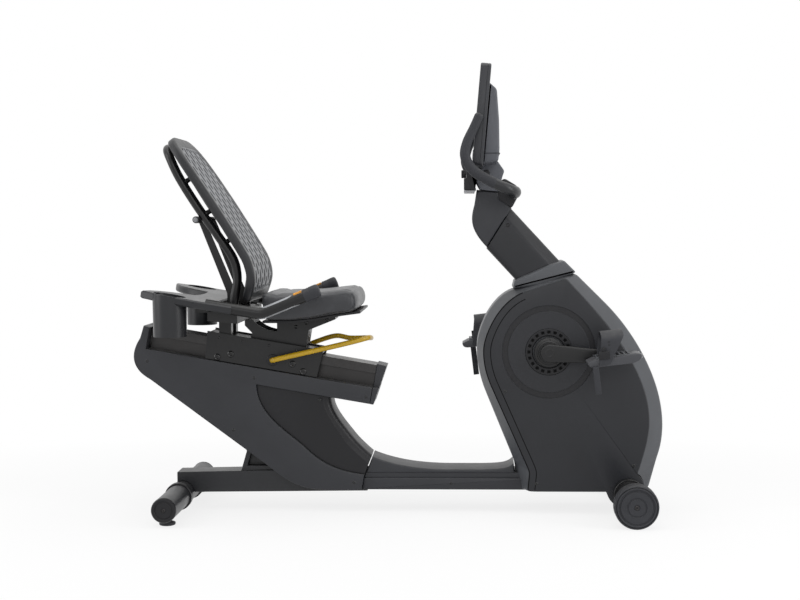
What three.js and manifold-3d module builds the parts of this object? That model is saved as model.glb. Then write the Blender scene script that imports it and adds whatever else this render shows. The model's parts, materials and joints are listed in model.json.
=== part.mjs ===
// A recumbent exercise bike with a sliding seat, as separate named pieces.
// Millimetres. +Z up, +X the way the rider faces, +Y the rider's left. The origin lies on the floor.
import * as THREE from "three";
import { mergeVertices } from "three/addons/utils/BufferGeometryUtils.js";
import Module from "manifold-3d";

const wasm = await Module();
wasm.setup();

// ---- driving sizes ----
const gap = 0.3; // between pieces that touch
const runningGap = 0.4; // round a piece that turns or slides
const shellWall = 4;

// floor contact
const rearTubeX = -641;
const rearTubeZ = 50;
const rearTubeRadius = 35;
const rearTubeHalf = 303;
const capLength = 8;
const tubeWall = 3;
const sleeveRadius = 40;
const sleeveWidth = 24;
const sleeveY = 90;
const footRadius = 23;
const footPadHeight = 12;
const footStemRadius = 6;
const footInset = 53;
const wheelX = 668;
const wheelRadius = 61.5;
const wheelWidth = 48;
const wheelFaceY = 300;
const frontTubeRadius = 40;
const axleRadius = 9;
const axleBore = 4;

// base
const beamHalfWidth = 38;
const seamX = -90;
const beamTop = 119;
const baseHalfWidth = 62;
const baseBottom = 66;
const baseSideTop = 100;
const baseBandTop = 116;
const bandDepth = 6;

// rail, which slopes down towards the front
const railSlope = THREE.MathUtils.degToRad(9.8);
const railX = -394;
const railZ = 488;
const railFront = 357;
const railRear = -331;
const railHalfWidth = 45;
const railHeight = 104;
const railWall = 5;
const channelTop = -26;
const channelBottom = -63.6;
const channelDepth = 11;
const stripTop = -64.5;
const stripBottom = -113;
const coverHalfWidth = 75;
const innerHalfWidth = 65;

// carriage and its seat
const plateHalfWidth = 69;
const plateThickness = 6;
const plateRear = -165;
const plateFront = 179;
const plateTop = 19;
const plateBottom = -62;
const rollerRadius = 11.8;
const leverRadius = 7.5;
const leverPivotU = 37.4;
const leverPivotW = -34;
const leverHalfWidth = 100;
const cushionHalfWidth = 190;
const cushionBevel = 14;
const bracketHalfWidth = 48;
const backHalfWidth = 192;
const backThickness = 24;
const backPanel = 7;
const backTubeRadius = 13;
const spacerRadius = 7;
const backTubeY = 120;
const braceY = 88;
const beamTopZ = 600; // of the frame that carries the back and the handles
const trayW = 96;
const trayThickness = 22;
const cupX = -627;
const cupY = 240;
const cupRadius = 48.5;
const cupWall = 3;
const cupBottomZ = 531;
const handleY = 262;
const handleRadius = 16;
const gripRadius = 19.5;
const gripLength = 46;
const buttonLength = 24;
const buttonTravel = 2;

// drive
const crankX = 439;
const crankZ = 472;
const crankLength = 175;
const crankTilt = THREE.MathUtils.degToRad(3.6);
const axleShaftRadius = 12;
const armY = 134;
const armThickness = 15;
const hubRadius = 43;
const pulleyRadius = 104;
const pulleyY = 50;
const pulleyWidth = 16;
const flywheelX = 600;
const flywheelZ = 240;
const flywheelRadius = 98;
const flywheelHalf = 17;
const flywheelShaftRadius = 8;
const smallPulleyRadius = 20;
const beltThickness = 3;
const uprightHalfWidth = 30;
const uprightTop = 640;
const uprightPlate = 6;
const pedalLength = 150;
const pedalWidth = 92;
const pedalThickness = 26;
const pedalTilt = THREE.MathUtils.degToRad(6.5);
const strapHeight = 74;
const strapWidth = 62;
const strapThickness = 4;

// shroud
const panelHalfWidth = 95;
const bandHalfWidth = 45;
const panelThickness = 5;
const ringOuter = 134;
const ringInner = 117;
const ringDepth = 3;
const ventOuter = 67;
const ventInner = 46;
const archX = 659;
const archZ = 75;
const archRadius = 57;

// mast and console
const mastHalfWidth = 55;
const mastChamfer = 30;
const mastLow = 713;
const mastHigh = 844;
const mastAngle = Math.atan2(0.737, 0.676);
const collarHalfWidth = 66;
const consoleTilt = THREE.MathUtils.degToRad(5.2);
const consoleWidth = 400;
const consoleHeight = 290;
const consoleThickness = 30;
const consoleFootX = 234.858; // the slab's foot stays put when its height changes
const consoleFootZ = 999.597;
const consoleX = consoleFootX + (Math.sin(consoleTilt) * consoleHeight) / 2;
const consoleZ = consoleFootZ + (Math.cos(consoleTilt) * consoleHeight) / 2;
const screenWidth = 346;
const screenHeight = 196;
const screenThickness = 3;
const housingHalfWidth = 160;
const stemHalfWidth = 62;
const barRadius = 13.5;
const barY = 215;
const dialRadius = 11.5;
const dialLength = 14;

// ---- finishes ----
const look = (color, roughness, metalness = 0) =>
  new THREE.MeshStandardMaterial({ color, roughness, metalness });
const charcoal = look(0x3c3d41, 0.45);
const lightCharcoal = look(0x6b6e72, 0.4);
const satinBlack = look(0x1e1f22, 0.5);
const blackSteel = look(0x17181a, 0.45, 0.4);
const steel = look(0x9a9da0, 0.35, 0.9);
const aluminium = look(0x54565a, 0.4, 0.6);
const rubber = look(0x141414, 0.85);
const vinyl = look(0x1b1c1e, 0.6);
const glass = look(0x08090a, 0.1);
const yellow = look(0xd9b01e, 0.4);
const iron = look(0x3a3b3d, 0.6, 0.8);

// ---- shaping tools ----
// A closed geometry as a solid, with its faces turned outwards.
function solid(geometry, matrix) {
  const bare = geometry.index ? geometry.toNonIndexed() : geometry.clone();
  bare.deleteAttribute("normal");
  bare.deleteAttribute("uv");
  if (matrix) bare.applyMatrix4(matrix);
  const merged = mergeVertices(bare, 1e-3);
  const vertProperties = merged.attributes.position.array;
  const triVerts = new Uint32Array(merged.index.array);
  const made = new wasm.Manifold(new wasm.Mesh({ numProp: 3, vertProperties, triVerts }));
  if (made.volume() > 0) return made;
  return new wasm.Manifold(new wasm.Mesh({ numProp: 3, vertProperties, triVerts: triVerts.reverse() }));
}

const cut = (body, ...tools) => tools.reduce((rest, tool) => rest.subtract(tool), body);
const join = (body, ...others) => others.reduce((sum, other) => sum.add(other), body);

function geometryOf(body) {
  const { vertProperties, triVerts } = body.getMesh();
  const geometry = new THREE.BufferGeometry();
  geometry.setAttribute("position", new THREE.BufferAttribute(new Float32Array(vertProperties), 3));
  geometry.setIndex(new THREE.BufferAttribute(new Uint32Array(triVerts), 1));
  geometry.computeVertexNormals();
  return geometry;
}

function place(group, name, body, material, x = 0, y = 0, z = 0) {
  const mesh = new THREE.Mesh(geometryOf(body), material);
  mesh.name = name;
  mesh.position.set(x, y, z);
  group.add(mesh);
  return mesh;
}

const inRow = (points) => points.map(([x, z]) => new THREE.Vector2(x, z));
const outline = (points) => new THREE.Shape(inRow(points));

// Points moved inwards by a distance, each along the mean of its two edges' normals.
function inset(points, distance) {
  const area = THREE.ShapeUtils.area(points);
  const turn = area > 0 ? 1 : -1;
  return points.map((point, i) => {
    const before = points[(i + points.length - 1) % points.length];
    const after = points[(i + 1) % points.length];
    const a = point.clone().sub(before).normalize();
    const b = after.clone().sub(point).normalize();
    const normal = new THREE.Vector2(-a.y - b.y, a.x + b.x).multiplyScalar(turn).normalize();
    const across = Math.max(normal.x * -a.y * turn + normal.y * a.x * turn, 0.35);
    return point.clone().addScaledVector(normal, distance / across);
  });
}

function cleanPoints(shape, segments) {
  const points = shape.getPoints(segments);
  return points.filter((p, i) => p.distanceTo(points[(i + 1) % points.length]) > 0.05);
}

// A side outline (x, z) carried from one y to another, with an optional bevel round its edges.
function slab(shape, yLow, yHigh, { bevel = 0, segments = 6, steps = 1, matrix } = {}) {
  const geometry = new THREE.ExtrudeGeometry(shape, {
    depth: yHigh - yLow - 2 * bevel,
    bevelEnabled: bevel > 0,
    bevelThickness: bevel,
    bevelSize: bevel,
    bevelOffset: -bevel,
    bevelSegments: steps,
    curveSegments: segments,
  });
  geometry.rotateX(Math.PI / 2);
  geometry.translate(0, yHigh - bevel, 0);
  return solid(geometry, matrix);
}

// One closed outline after another, at rising y, joined by straight walls and capped at both ends.
function loft(outlines) {
  const backwards = THREE.ShapeUtils.area(outlines[0].points) < 0;
  const ordered = (points) => (backwards ? [...points].reverse() : points);
  const sections = outlines.map(({ points, y }) => ({ y, points: ordered(points) }));
  const count = sections[0].points.length;
  const positions = sections.flatMap(({ points, y }) => points.flatMap((p) => [p.x, y, p.y]));
  const index = [];
  for (let s = 0; s + 1 < sections.length; s++)
    for (let i = 0; i < count; i++) {
      const a = s * count + i;
      const b = s * count + ((i + 1) % count);
      index.push(a, b, b + count, a, b + count, a + count);
    }
  const last = (sections.length - 1) * count;
  for (const [a, b, c] of THREE.ShapeUtils.triangulateShape(sections[0].points, [])) index.push(a, c, b);
  for (const [a, b, c] of THREE.ShapeUtils.triangulateShape(sections.at(-1).points, []))
    index.push(last + a, last + b, last + c);
  const geometry = new THREE.BufferGeometry();
  geometry.setAttribute("position", new THREE.Float32BufferAttribute(positions, 3));
  geometry.setIndex(index);
  return solid(geometry);
}

function box(x0, x1, y0, y1, z0, z1, matrix) {
  const geometry = new THREE.BoxGeometry(x1 - x0, y1 - y0, z1 - z0);
  geometry.translate((x0 + x1) / 2, (y0 + y1) / 2, (z0 + z1) / 2);
  return solid(geometry, matrix);
}

// A closed profile of [radius, y] turned about the y axis through (x, z).
function turned(profile, { x = 0, z = 0, sides = 18, matrix } = {}) {
  const points = profile.map(([radius, y]) => new THREE.Vector2(radius, y));
  if (points[0].x > 0) points.push(points[0].clone());
  const geometry = new THREE.LatheGeometry(points, sides);
  geometry.translate(x, 0, z);
  return solid(geometry, matrix);
}

const rod = (radius, yLow, yHigh, options) =>
  turned([[0, yLow], [radius, yLow], [radius, yHigh], [0, yHigh]], options);

// A round bar along a smooth curve through points, or along a straight line.
function bar(points, radius, { sides = 10, steps = 24, tension = 0.5, matrix } = {}) {
  const through = points.map((p) => new THREE.Vector3(...p));
  const path = new THREE.CatmullRomCurve3(through, false, "catmullrom", tension);
  const section = new THREE.Shape();
  section.absarc(0, 0, radius, 0, 2 * Math.PI);
  const geometry = new THREE.ExtrudeGeometry(section, { steps, extrudePath: path, curveSegments: sides / 2 });
  return solid(geometry, matrix);
}

const mirrored = (points) => [...points].reverse().map(([x, y, z]) => [x, -y, z]);

// The same piece on the rider's other side.
function mirror(body) {
  const geometry = geometryOf(body);
  geometry.applyMatrix4(new THREE.Matrix4().makeScale(1, -1, 1));
  return solid(geometry);
}

function placePair(group, name, rightBody, material) {
  place(group, name + "_right", rightBody, material);
  place(group, name + "_left", mirror(rightBody), material);
}

// ---- frames ----
const bike = new THREE.Group();
const rail = new THREE.Group();
rail.position.set(railX, 0, railZ);
rail.rotation.y = railSlope;
rail.updateMatrixWorld(true);
bike.add(rail);
const railMatrix = rail.matrixWorld;

// A point of the rail's own frame, u along it and w square to it, as [x, z] on the bike.
function railPoint(u, w) {
  const point = new THREE.Vector3(u, 0, w).applyMatrix4(railMatrix);
  return [point.x, point.z];
}

// ---- stabilisers, wheels and feet ----
const footY = rearTubeHalf - footInset;

function rearStabiliser() {
  const half = rearTubeHalf - capLength - gap;
  const inner = rearTubeRadius - tubeWall;
  const sleeve = [sleeveY - sleeveWidth / 2, sleeveY + sleeveWidth / 2];
  const tube = turned([
    [rearTubeRadius, -half],
    [rearTubeRadius, -sleeve[1]],
    [sleeveRadius, -sleeve[1]],
    [sleeveRadius, -sleeve[0]],
    [rearTubeRadius, -sleeve[0]],
    [rearTubeRadius, sleeve[0]],
    [sleeveRadius, sleeve[0]],
    [sleeveRadius, sleeve[1]],
    [rearTubeRadius, sleeve[1]],
    [rearTubeRadius, half],
    [inner, half],
    [inner, -half],
  ], { x: rearTubeX, z: rearTubeZ });
  const stemHole = (y) => {
    const radius = footStemRadius + runningGap;
    const geometry = new THREE.CylinderGeometry(radius, radius, 60, 12);
    geometry.rotateX(Math.PI / 2);
    geometry.translate(rearTubeX, y, rearTubeZ - rearTubeRadius);
    return solid(geometry);
  };
  return cut(tube, stemHole(footY), stemHole(-footY));
}

function rearCap() {
  const face = -rearTubeHalf;
  return turned([
    [0, face],
    [rearTubeRadius - 4, face],
    [rearTubeRadius + 0.5, face + 4],
    [rearTubeRadius + 0.5, face + capLength],
    [0, face + capLength],
  ], { x: rearTubeX, z: rearTubeZ });
}

// Turned about a standing axis: a round pad with a stem up into the stabiliser.
function levellingFoot() {
  const stemTop = rearTubeZ - 8;
  const profile = [[0, 0], [footRadius - 3, 0], [footRadius, 4], [footRadius, 8], [10, footPadHeight]];
  profile.push([footStemRadius, footPadHeight], [footStemRadius, stemTop], [0, stemTop]);
  const geometry = new THREE.LatheGeometry(profile.map(([r, h]) => new THREE.Vector2(r, h)), 24);
  geometry.rotateX(Math.PI / 2);
  return solid(geometry);
}

function frontStabiliser() {
  const end = wheelFaceY - wheelWidth - 3;
  const axleEnd = wheelFaceY - 10;
  const half = [
    [axleBore, axleEnd],
    [axleRadius, axleEnd],
    [axleRadius, end],
    [frontTubeRadius, end],
    [frontTubeRadius, panelHalfWidth + 22],
    [frontTubeRadius + 5, panelHalfWidth + 22],
    [frontTubeRadius + 5, panelHalfWidth + 2],
    [frontTubeRadius, panelHalfWidth + 2],
  ];
  const inside = [[frontTubeRadius - tubeWall, end - 4], [axleBore, end - 4]];
  const flip = (points) => [...points].reverse().map(([r, y]) => [r, -y]);
  return turned([...half, ...flip(half), ...flip(inside), ...inside], { x: wheelX, z: wheelRadius });
}

// Turned about its own axle; its outer face looks towards -y.
function wheel() {
  const bore = axleRadius + runningGap;
  const depth = wheelWidth;
  return turned([
    [0, 0],
    [52, 0],
    [53.5, 3],
    [56, 3],
    [57, 0],
    [wheelRadius - 2.5, 3],
    [wheelRadius, 7],
    [wheelRadius, depth - 5],
    [wheelRadius - 3, depth],
    [bore, depth],
    [bore, 8],
    [0, 8],
  ], { sides: 28 });
}

place(bike, "rear_stabiliser", rearStabiliser(), charcoal);
placePair(bike, "stabiliser_cap", rearCap(), satinBlack);
place(bike, "levelling_foot_right", levellingFoot(), rubber, rearTubeX, -footY, 0);
place(bike, "levelling_foot_left", levellingFoot(), rubber, rearTubeX, footY, 0);
place(bike, "front_stabiliser", frontStabiliser(), satinBlack);
place(bike, "wheel_right", wheel(), rubber, wheelX, -wheelFaceY, wheelRadius);
place(bike, "wheel_left", mirror(wheel()), rubber, wheelX, wheelFaceY, wheelRadius);

// ---- welded base ----
const rearTubeClearance = rod(rearTubeRadius + 2 * gap, -400, 400, { x: rearTubeX, z: rearTubeZ });
const frontTubeClearance = rod(frontTubeRadius + 2 * gap, -300, 300, { x: wheelX, z: wheelRadius });
const rearEnd = rearTubeX - 15;
const rearBeamOutline = [
  [rearEnd, rearTubeZ + 62],
  [rearEnd, rearTubeZ + 2],
  [seamX, rearTubeZ + 8],
  [seamX, beamTop],
  [-379, beamTop - 1],
];
const rearBeamBody = slab(outline(rearBeamOutline), -beamHalfWidth, beamHalfWidth);

function rearBeam() {
  const inner = [
    [rearEnd + 5, rearTubeZ + 57],
    [rearEnd + 5, rearTubeZ + 7],
    [seamX + 10, rearTubeZ + 13],
    [seamX + 10, beamTop - 5],
    [-379, beamTop - 6],
  ];
  const hollow = slab(outline(inner), 4 - beamHalfWidth, beamHalfWidth - 4);
  return cut(rearBeamBody, hollow, rearTubeClearance);
}

function baseBeam() {
  const body = box(seamX + gap, wheelX, -beamHalfWidth - 2, beamHalfWidth + 2, 70, beamTop - 4);
  const hollow = box(seamX - 5, wheelX + 5, 6 - beamHalfWidth, beamHalfWidth - 6, 76, beamTop - 10);
  return cut(body, hollow, frontTubeClearance);
}

const postHalfWidth = 28;
const postFoot = beamTop - 3;
const postOutline = [
  [-466, postFoot],
  [-449, postFoot + 58],
  railPoint(-150, -railHeight - gap),
  railPoint(90, -railHeight - gap),
  [-250, postFoot],
];

// The post that carries the rail, welded to the beam, with its toe showing behind the cover.
function railPost() {
  const pocket = new THREE.Shape(inset(inRow(postOutline), 14));
  const body = slab(outline(postOutline), -postHalfWidth, postHalfWidth);
  return cut(body, slab(pocket, 5, postHalfWidth + 5), slab(pocket, -postHalfWidth - 5, -5));
}

const postClearance = slab(
  new THREE.Shape(inset(inRow(postOutline), -2 * gap)), -postHalfWidth - 2 * gap, postHalfWidth + 2 * gap);

// Two side plates with the crank's bearing shell, a foot and a head between them.
function frontUpright() {
  const low = beamTop - 4 + gap;
  const side = outline([
    [395, low],
    [640, low],
    [640, flywheelZ + 22],
    [flywheelX, flywheelZ + 42],
    [530, flywheelZ + 110],
    [crankX + 45, crankZ + 20],
    [480, uprightTop],
    [400, uprightTop],
    [395, crankZ],
  ]);
  const outer = uprightHalfWidth;
  const plates = [slab(side, -outer, uprightPlate - outer), slab(side, outer - uprightPlate, outer)];
  const shell = rod(axleShaftRadius + 12, -outer - 6, outer + 6, { x: crankX, z: crankZ });
  const foot = box(395, 640, 1 - outer, outer - 1, low, low + 6);
  const head = box(400, 480, 1 - outer, outer - 1, uprightTop - 8, uprightTop);
  const bore = rod(axleShaftRadius + runningGap, -60, 60, { x: crankX, z: crankZ });
  const shaftHole = rod(flywheelShaftRadius + runningGap, -60, 60, { x: flywheelX, z: flywheelZ });
  return cut(join(plates[0], plates[1], shell, foot, head), bore, shaftHole);
}

place(bike, "rear_frame", join(rearBeam(), railPost()), charcoal);
place(bike, "base_beam", baseBeam(), satinBlack);
place(bike, "front_upright", frontUpright(), satinBlack);

// ---- rail ----
const railSlab = (points, low, high, options = {}) =>
  slab(outline(points), low, high, { ...options, matrix: railMatrix });

// The rail's clearance as the covers see it, in the bike's frame.
const railClearance = box(
  railRear - 3, railFront + 40, -railHalfWidth - 0.6, railHalfWidth + 0.6, -railHeight - 0.6, 200, railMatrix);

function seatRail() {
  const hollowHalfWidth = railHalfWidth - channelDepth - railWall;
  const body = box(railRear, railFront - 18, -railHalfWidth, railHalfWidth, -railHeight, 0);
  const hollow = box(
    railRear - 5, railFront + 5, -hollowHalfWidth, hollowHalfWidth, railWall - railHeight, -railWall);
  const channel = (side) => box(
    railRear - 5, railFront + 5, side > 0 ? railHalfWidth - channelDepth : -railHalfWidth - 5,
    side > 0 ? railHalfWidth + 5 : channelDepth - railHalfWidth, channelBottom, channelTop);
  return cut(body, hollow, channel(1), channel(-1));
}

// The rail's front end cap leans back towards its foot, where it also closes the cover's strip.
function railEndCap() {
  const back = railFront - 18 + gap;
  const edge = (w) => railFront + 11 - 0.165 * (2 - w);
  const foot = [edge(stripBottom), stripBottom];
  const upper = [[back, 4], [edge(2), 2], foot, [back, stripBottom]];
  const lower = [[back, stripTop], [edge(stripTop), stripTop], foot, [back, stripBottom]];
  return join(
    slab(outline(upper), -railHalfWidth, railHalfWidth, { bevel: 1.5 }),
    slab(outline(lower), -coverHalfWidth, coverHalfWidth, { bevel: 1.5 }));
}

place(rail, "seat_rail", seatRail(), aluminium);
place(rail, "rail_end_cap", railEndCap(), lightCharcoal);

// ---- covers of the rear frame ----

// From the base up to the rail's foot, where the dark inner cover meets the outer one.
function innerEdge(shape) {
  shape.bezierCurveTo(-190, 122, -232, 155, -271, 192);
  shape.bezierCurveTo(-315, 235, -412, 285, ...railPoint(2, stripBottom));
}

const coverFront = railFront - 18 - gap;
const coverShape = new THREE.Shape();
coverShape.moveTo(...railPoint(coverFront, stripTop));
coverShape.lineTo(...railPoint(railRear - 4, stripTop));
coverShape.lineTo(...railPoint(railRear - 3, 0));
coverShape.lineTo(-741, 550);
coverShape.lineTo(-752, 514);
coverShape.bezierCurveTo(-782, 470, -782, 424, -724, 392);
coverShape.lineTo(-379, 137);
coverShape.bezierCurveTo(-330, 98, -290, baseBottom, -205, baseBottom);
coverShape.lineTo(-106, baseBottom);
coverShape.lineTo(-97, 112);
innerEdge(coverShape);
coverShape.lineTo(...railPoint(coverFront, stripBottom));

// The inner cover's side; its front edge stands back by a chamfer on the narrow outline.
function innerOutline(chamfer) {
  const shape = new THREE.Shape();
  shape.moveTo(-97, 112);
  innerEdge(shape);
  const [topX, topZ] = railPoint(224, stripBottom);
  shape.lineTo(topX - chamfer, topZ + chamfer * Math.tan(railSlope));
  shape.bezierCurveTo(-199 - chamfer, 300, -160 - chamfer, 258, -127 - chamfer, 216 - chamfer / 2);
  shape.bezierCurveTo(
    -110 - chamfer, 196 - chamfer / 2, -90 - chamfer, 178 - chamfer / 2, -76 - chamfer / 3, 166 - chamfer);
  return shape.getPoints(6);
}

// Opens a half casing: a pocket behind its wall that runs out past the middle.
const pocketOf = (points, wall, outer) => slab(new THREE.Shape(inset(points, wall)), wall - outer, 5);

const beamClearance = join(
  slab(new THREE.Shape(inset(inRow(rearBeamOutline), -gap - 0.3)), -beamHalfWidth - 0.6, beamHalfWidth + 0.6),
  box(seamX - 60, wheelX, -beamHalfWidth - 2.6, beamHalfWidth + 2.6, 60, beamTop - 3.4));

function rearCover() {
  const points = cleanPoints(coverShape, 6);
  const body = slab(coverShape, -coverHalfWidth, -gap / 2, { segments: 6 });
  const behindInner = slab(new THREE.Shape(inset(innerOutline(0), -5)), shellWall - coverHalfWidth, 5);
  const pocket = pocketOf(points, shellWall, coverHalfWidth);
  return cut(body, pocket, behindInner, railClearance, beamClearance, postClearance);
}

function innerCover() {
  const chamfer = 22;
  const wide = inset(innerOutline(0), gap);
  const narrow = inset(innerOutline(chamfer), gap);
  const body = loft([
    { points: narrow, y: -innerHalfWidth },
    { points: wide, y: chamfer - innerHalfWidth },
    { points: wide, y: -gap / 2 },
  ]);
  const hollow = loft([
    { points: inset(narrow, shellWall), y: shellWall - innerHalfWidth },
    { points: inset(wide, shellWall), y: shellWall + chamfer - innerHalfWidth },
    { points: inset(wide, shellWall), y: 5 },
  ]);
  return cut(body, hollow, railClearance, beamClearance, postClearance);
}

// The low cover along the base, with a band set back along each side and a top that sweeps up at both ends.
function baseCover() {
  const front = crankX - 60;
  const lower = outline([[-105, baseBottom], [front, baseBottom], [front, baseSideTop], [-99, baseSideTop]]);
  const bandLow = baseSideTop - 1;
  const band = outline([[-99, bandLow], [front, bandLow], [front, baseBandTop], [-92, baseBandTop]]);
  const top = new THREE.Shape();
  top.moveTo(-92, baseBandTop - 1);
  top.lineTo(front - 38, baseBandTop - 1);
  top.lineTo(front - 40, 145);
  top.bezierCurveTo(front - 55, 129, front - 70, 126, 241, 125);
  top.lineTo(153, 125);
  top.bezierCurveTo(60, 126, -10, 137, -73, 164);
  const body = join(
    slab(lower, -baseHalfWidth, baseHalfWidth),
    slab(band, bandDepth - baseHalfWidth, baseHalfWidth - bandDepth),
    slab(top, 2 - baseHalfWidth, baseHalfWidth - 2, { bevel: 4 }));
  const hollow = box(-120, crankX, -50, 50, 50, beamTop);
  return cut(body, hollow);
}

placePair(bike, "rear_cover", rearCover(), charcoal);
placePair(bike, "inner_cover", innerCover(), satinBlack);

// ---- shroud over the drive ----
const panelShape = new THREE.Shape();
panelShape.moveTo(386, baseBottom);
panelShape.lineTo(393, 124);
panelShape.lineTo(284, 371);
panelShape.bezierCurveTo(266, 412, 255, 470, 267, 507);
panelShape.bezierCurveTo(281, 556, 318, 628, 385, 648);
panelShape.lineTo(488, 685);
panelShape.lineTo(548, 620);
panelShape.bezierCurveTo(649, 509, 728, 386, 728, 276);
panelShape.bezierCurveTo(728, 220, 708, 160, 690, 108);
panelShape.lineTo(676, baseBottom);

const bandShape = new THREE.Shape();
bandShape.moveTo(354, baseBottom);
bandShape.lineTo(340, 150);
bandShape.lineTo(256, 357);
bandShape.bezierCurveTo(236, 407, 225, 480, 238, 519);
bandShape.bezierCurveTo(248, 562, 283, 632, 338, 651);
bandShape.lineTo(518, 697);
bandShape.lineTo(608, 607);
bandShape.bezierCurveTo(688, 527, 771, 385, 771, 260);
bandShape.bezierCurveTo(771, 220, 766, 190, 755, 160);
bandShape.lineTo(729, baseBottom);

const panelPoints = panelShape.getPoints(6);
const bandPoints = bandShape.getPoints(6);
const archCut = rod(archRadius, -200, 200, { x: archX, z: archZ, sides: 32 });

// The mast's section, square to its length: n up across it and y over its width.
const mastSection = [
  [mastLow, 10 - mastHalfWidth],
  [mastLow + 10, -mastHalfWidth],
  [mastHigh - mastChamfer, -mastHalfWidth],
  [mastHigh, mastChamfer - mastHalfWidth],
  [mastHigh, mastHalfWidth - mastChamfer],
  [mastHigh - mastChamfer, mastHalfWidth],
  [mastLow + 10, mastHalfWidth],
  [mastLow, mastHalfWidth - 10],
];
const mastUp = new THREE.Vector3(-Math.cos(mastAngle), 0, Math.sin(mastAngle));
const mastAcross = new THREE.Vector3(Math.sin(mastAngle), 0, Math.cos(mastAngle));
const mastMatrix = new THREE.Matrix4().makeBasis(mastAcross, new THREE.Vector3(0, 1, 0), mastUp);

function mastBar(section, low, high) {
  const geometry = new THREE.ExtrudeGeometry(outline(section), { depth: high - low, bevelEnabled: false });
  geometry.translate(0, 0, low);
  return solid(geometry, mastMatrix);
}

const grownSection = (distance) => inset(inRow(mastSection), -distance).map((p) => [p.x, p.y]);
const mastClearance = mastBar(grownSection(gap + 0.2), 0, 500);
const mastFootZ = uprightTop + gap;

function shroudShell() {
  const outer = panelHalfWidth - panelThickness - gap;
  const body = loft([
    { points: panelPoints, y: -outer },
    { points: bandPoints, y: -bandHalfWidth },
    { points: bandPoints, y: -gap / 2 },
  ]);
  const hollow = loft([
    { points: inset(panelPoints, shellWall), y: shellWall - outer },
    { points: inset(bandPoints, shellWall), y: -bandHalfWidth },
    { points: inset(bandPoints, shellWall), y: 5 },
  ]);
  const baseHole = box(200, 400, -baseHalfWidth - 0.5, 10, 0, 151.5);
  const crankHole = rod(ventInner - 6, -200, 200, { x: crankX, z: crankZ });
  const bottomOpening = box(300, 640, 8 - outer, 10, 0, baseBottom + 6);
  return cut(body, hollow, archCut, baseHole, crankHole, bottomOpening, mastClearance);
}

function shroudPanel() {
  const face = -panelHalfWidth;
  const points = inset(panelPoints, 2);
  const body = loft([
    { points: inset(points, 2), y: face },
    { points, y: face + 2 },
    { points, y: face + panelThickness },
  ]);
  const groove = turned([
    [ringInner, face - 5],
    [ringOuter, face - 5],
    [ringOuter, face + ringDepth],
    [ringInner, face + ringDepth],
  ], { x: crankX, z: crankZ, sides: 32 });
  const hole = rod(ventOuter + gap, -200, 0, { x: crankX, z: crankZ, sides: 24 });
  return cut(body, groove, hole, archCut);
}

function ventRing() {
  const face = -panelHalfWidth - 1;
  const back = face + panelThickness + 1;
  const profile = [[ventInner, face + 3], [ventInner + 3, face], [ventOuter - 2, face], [ventOuter, face + 2]];
  profile.push([ventOuter, back], [ventInner, back]);
  return turned(profile, { x: crankX, z: crankZ, sides: 24 });
}

placePair(bike, "shroud_shell", shroudShell(), lightCharcoal);
placePair(bike, "shroud_panel", shroudPanel(), charcoal);
placePair(bike, "vent_ring", ventRing(), satinBlack);
const halfSpace = loft([
  { points: inset(panelPoints, -gap), y: -panelHalfWidth },
  { points: inset(panelPoints, -gap), y: panelThickness + gap - panelHalfWidth },
  { points: inset(bandPoints, -gap), y: -bandHalfWidth },
  { points: inset(bandPoints, -gap), y: 1 },
]);
const shellSpace = join(halfSpace, mirror(halfSpace));
place(bike, "base_cover", cut(baseCover(), shellSpace), charcoal);

// ---- mast, neck and collar ----
// Everything above the joint between the mast and its neck.
const aboveSeam = (distance) => {
  const along = new THREE.Vector2(58, 92).normalize();
  const across = new THREE.Vector2(-along.y, along.x);
  const foot = new THREE.Vector2(263, 771).addScaledVector(across, -distance);
  const corner = (a, b) => foot.clone().addScaledVector(along, a).addScaledVector(across, b);
  return new THREE.Shape([corner(-300, 0), corner(400, 0), corner(400, 400), corner(-300, 400)]);
};

function mast() {
  const wall = 5;
  const body = mastBar(mastSection, 0, 470);
  const belowFoot = box(0, 900, -100, 100, -100, mastFootZ);
  const footPlate = box(0, 900, -100, 100, -100, mastFootZ + wall);
  const hollow = cut(mastBar(grownSection(-wall), -10, 480), footPlate);
  return cut(body, hollow, belowFoot, slab(aboveSeam(gap / 2), -100, 100));
}

function neck() {
  const shape = new THREE.Shape();
  shape.moveTo(262, 772);
  shape.bezierCurveTo(215, 822, 213, 852, 226, 896);
  shape.lineTo(233, 940);
  shape.lineTo(297, 933);
  shape.lineTo(300, 912);
  shape.lineTo(336, 886);
  const body = slab(shape, -mastHalfWidth + 2, mastHalfWidth - 2, { bevel: 5 });
  const below = new THREE.Shape(aboveSeam(0).getPoints());
  return body.intersect(slab(aboveSeam(-gap / 2), -100, 100)).intersect(slab(below, -100, 100));
}

function collar() {
  const points = [[337, 654], [342, 676], [352, 683], [445, 723], [485, 734], [519, 700], [430, 662]];
  const body = slab(outline(points), -collarHalfWidth, collarHalfWidth, { bevel: 6 });
  return cut(body, mastBar(grownSection(gap), 0, 500), shellSpace);
}

place(bike, "mast", mast(), charcoal);
place(bike, "neck_cover", neck(), charcoal);
place(bike, "mast_collar", collar(), lightCharcoal);

// ---- console ----
const consoleGroup = new THREE.Group();
consoleGroup.position.set(consoleX, 0, consoleZ);
consoleGroup.rotation.y = consoleTilt;
consoleGroup.updateMatrixWorld(true);
bike.add(consoleGroup);

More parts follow.
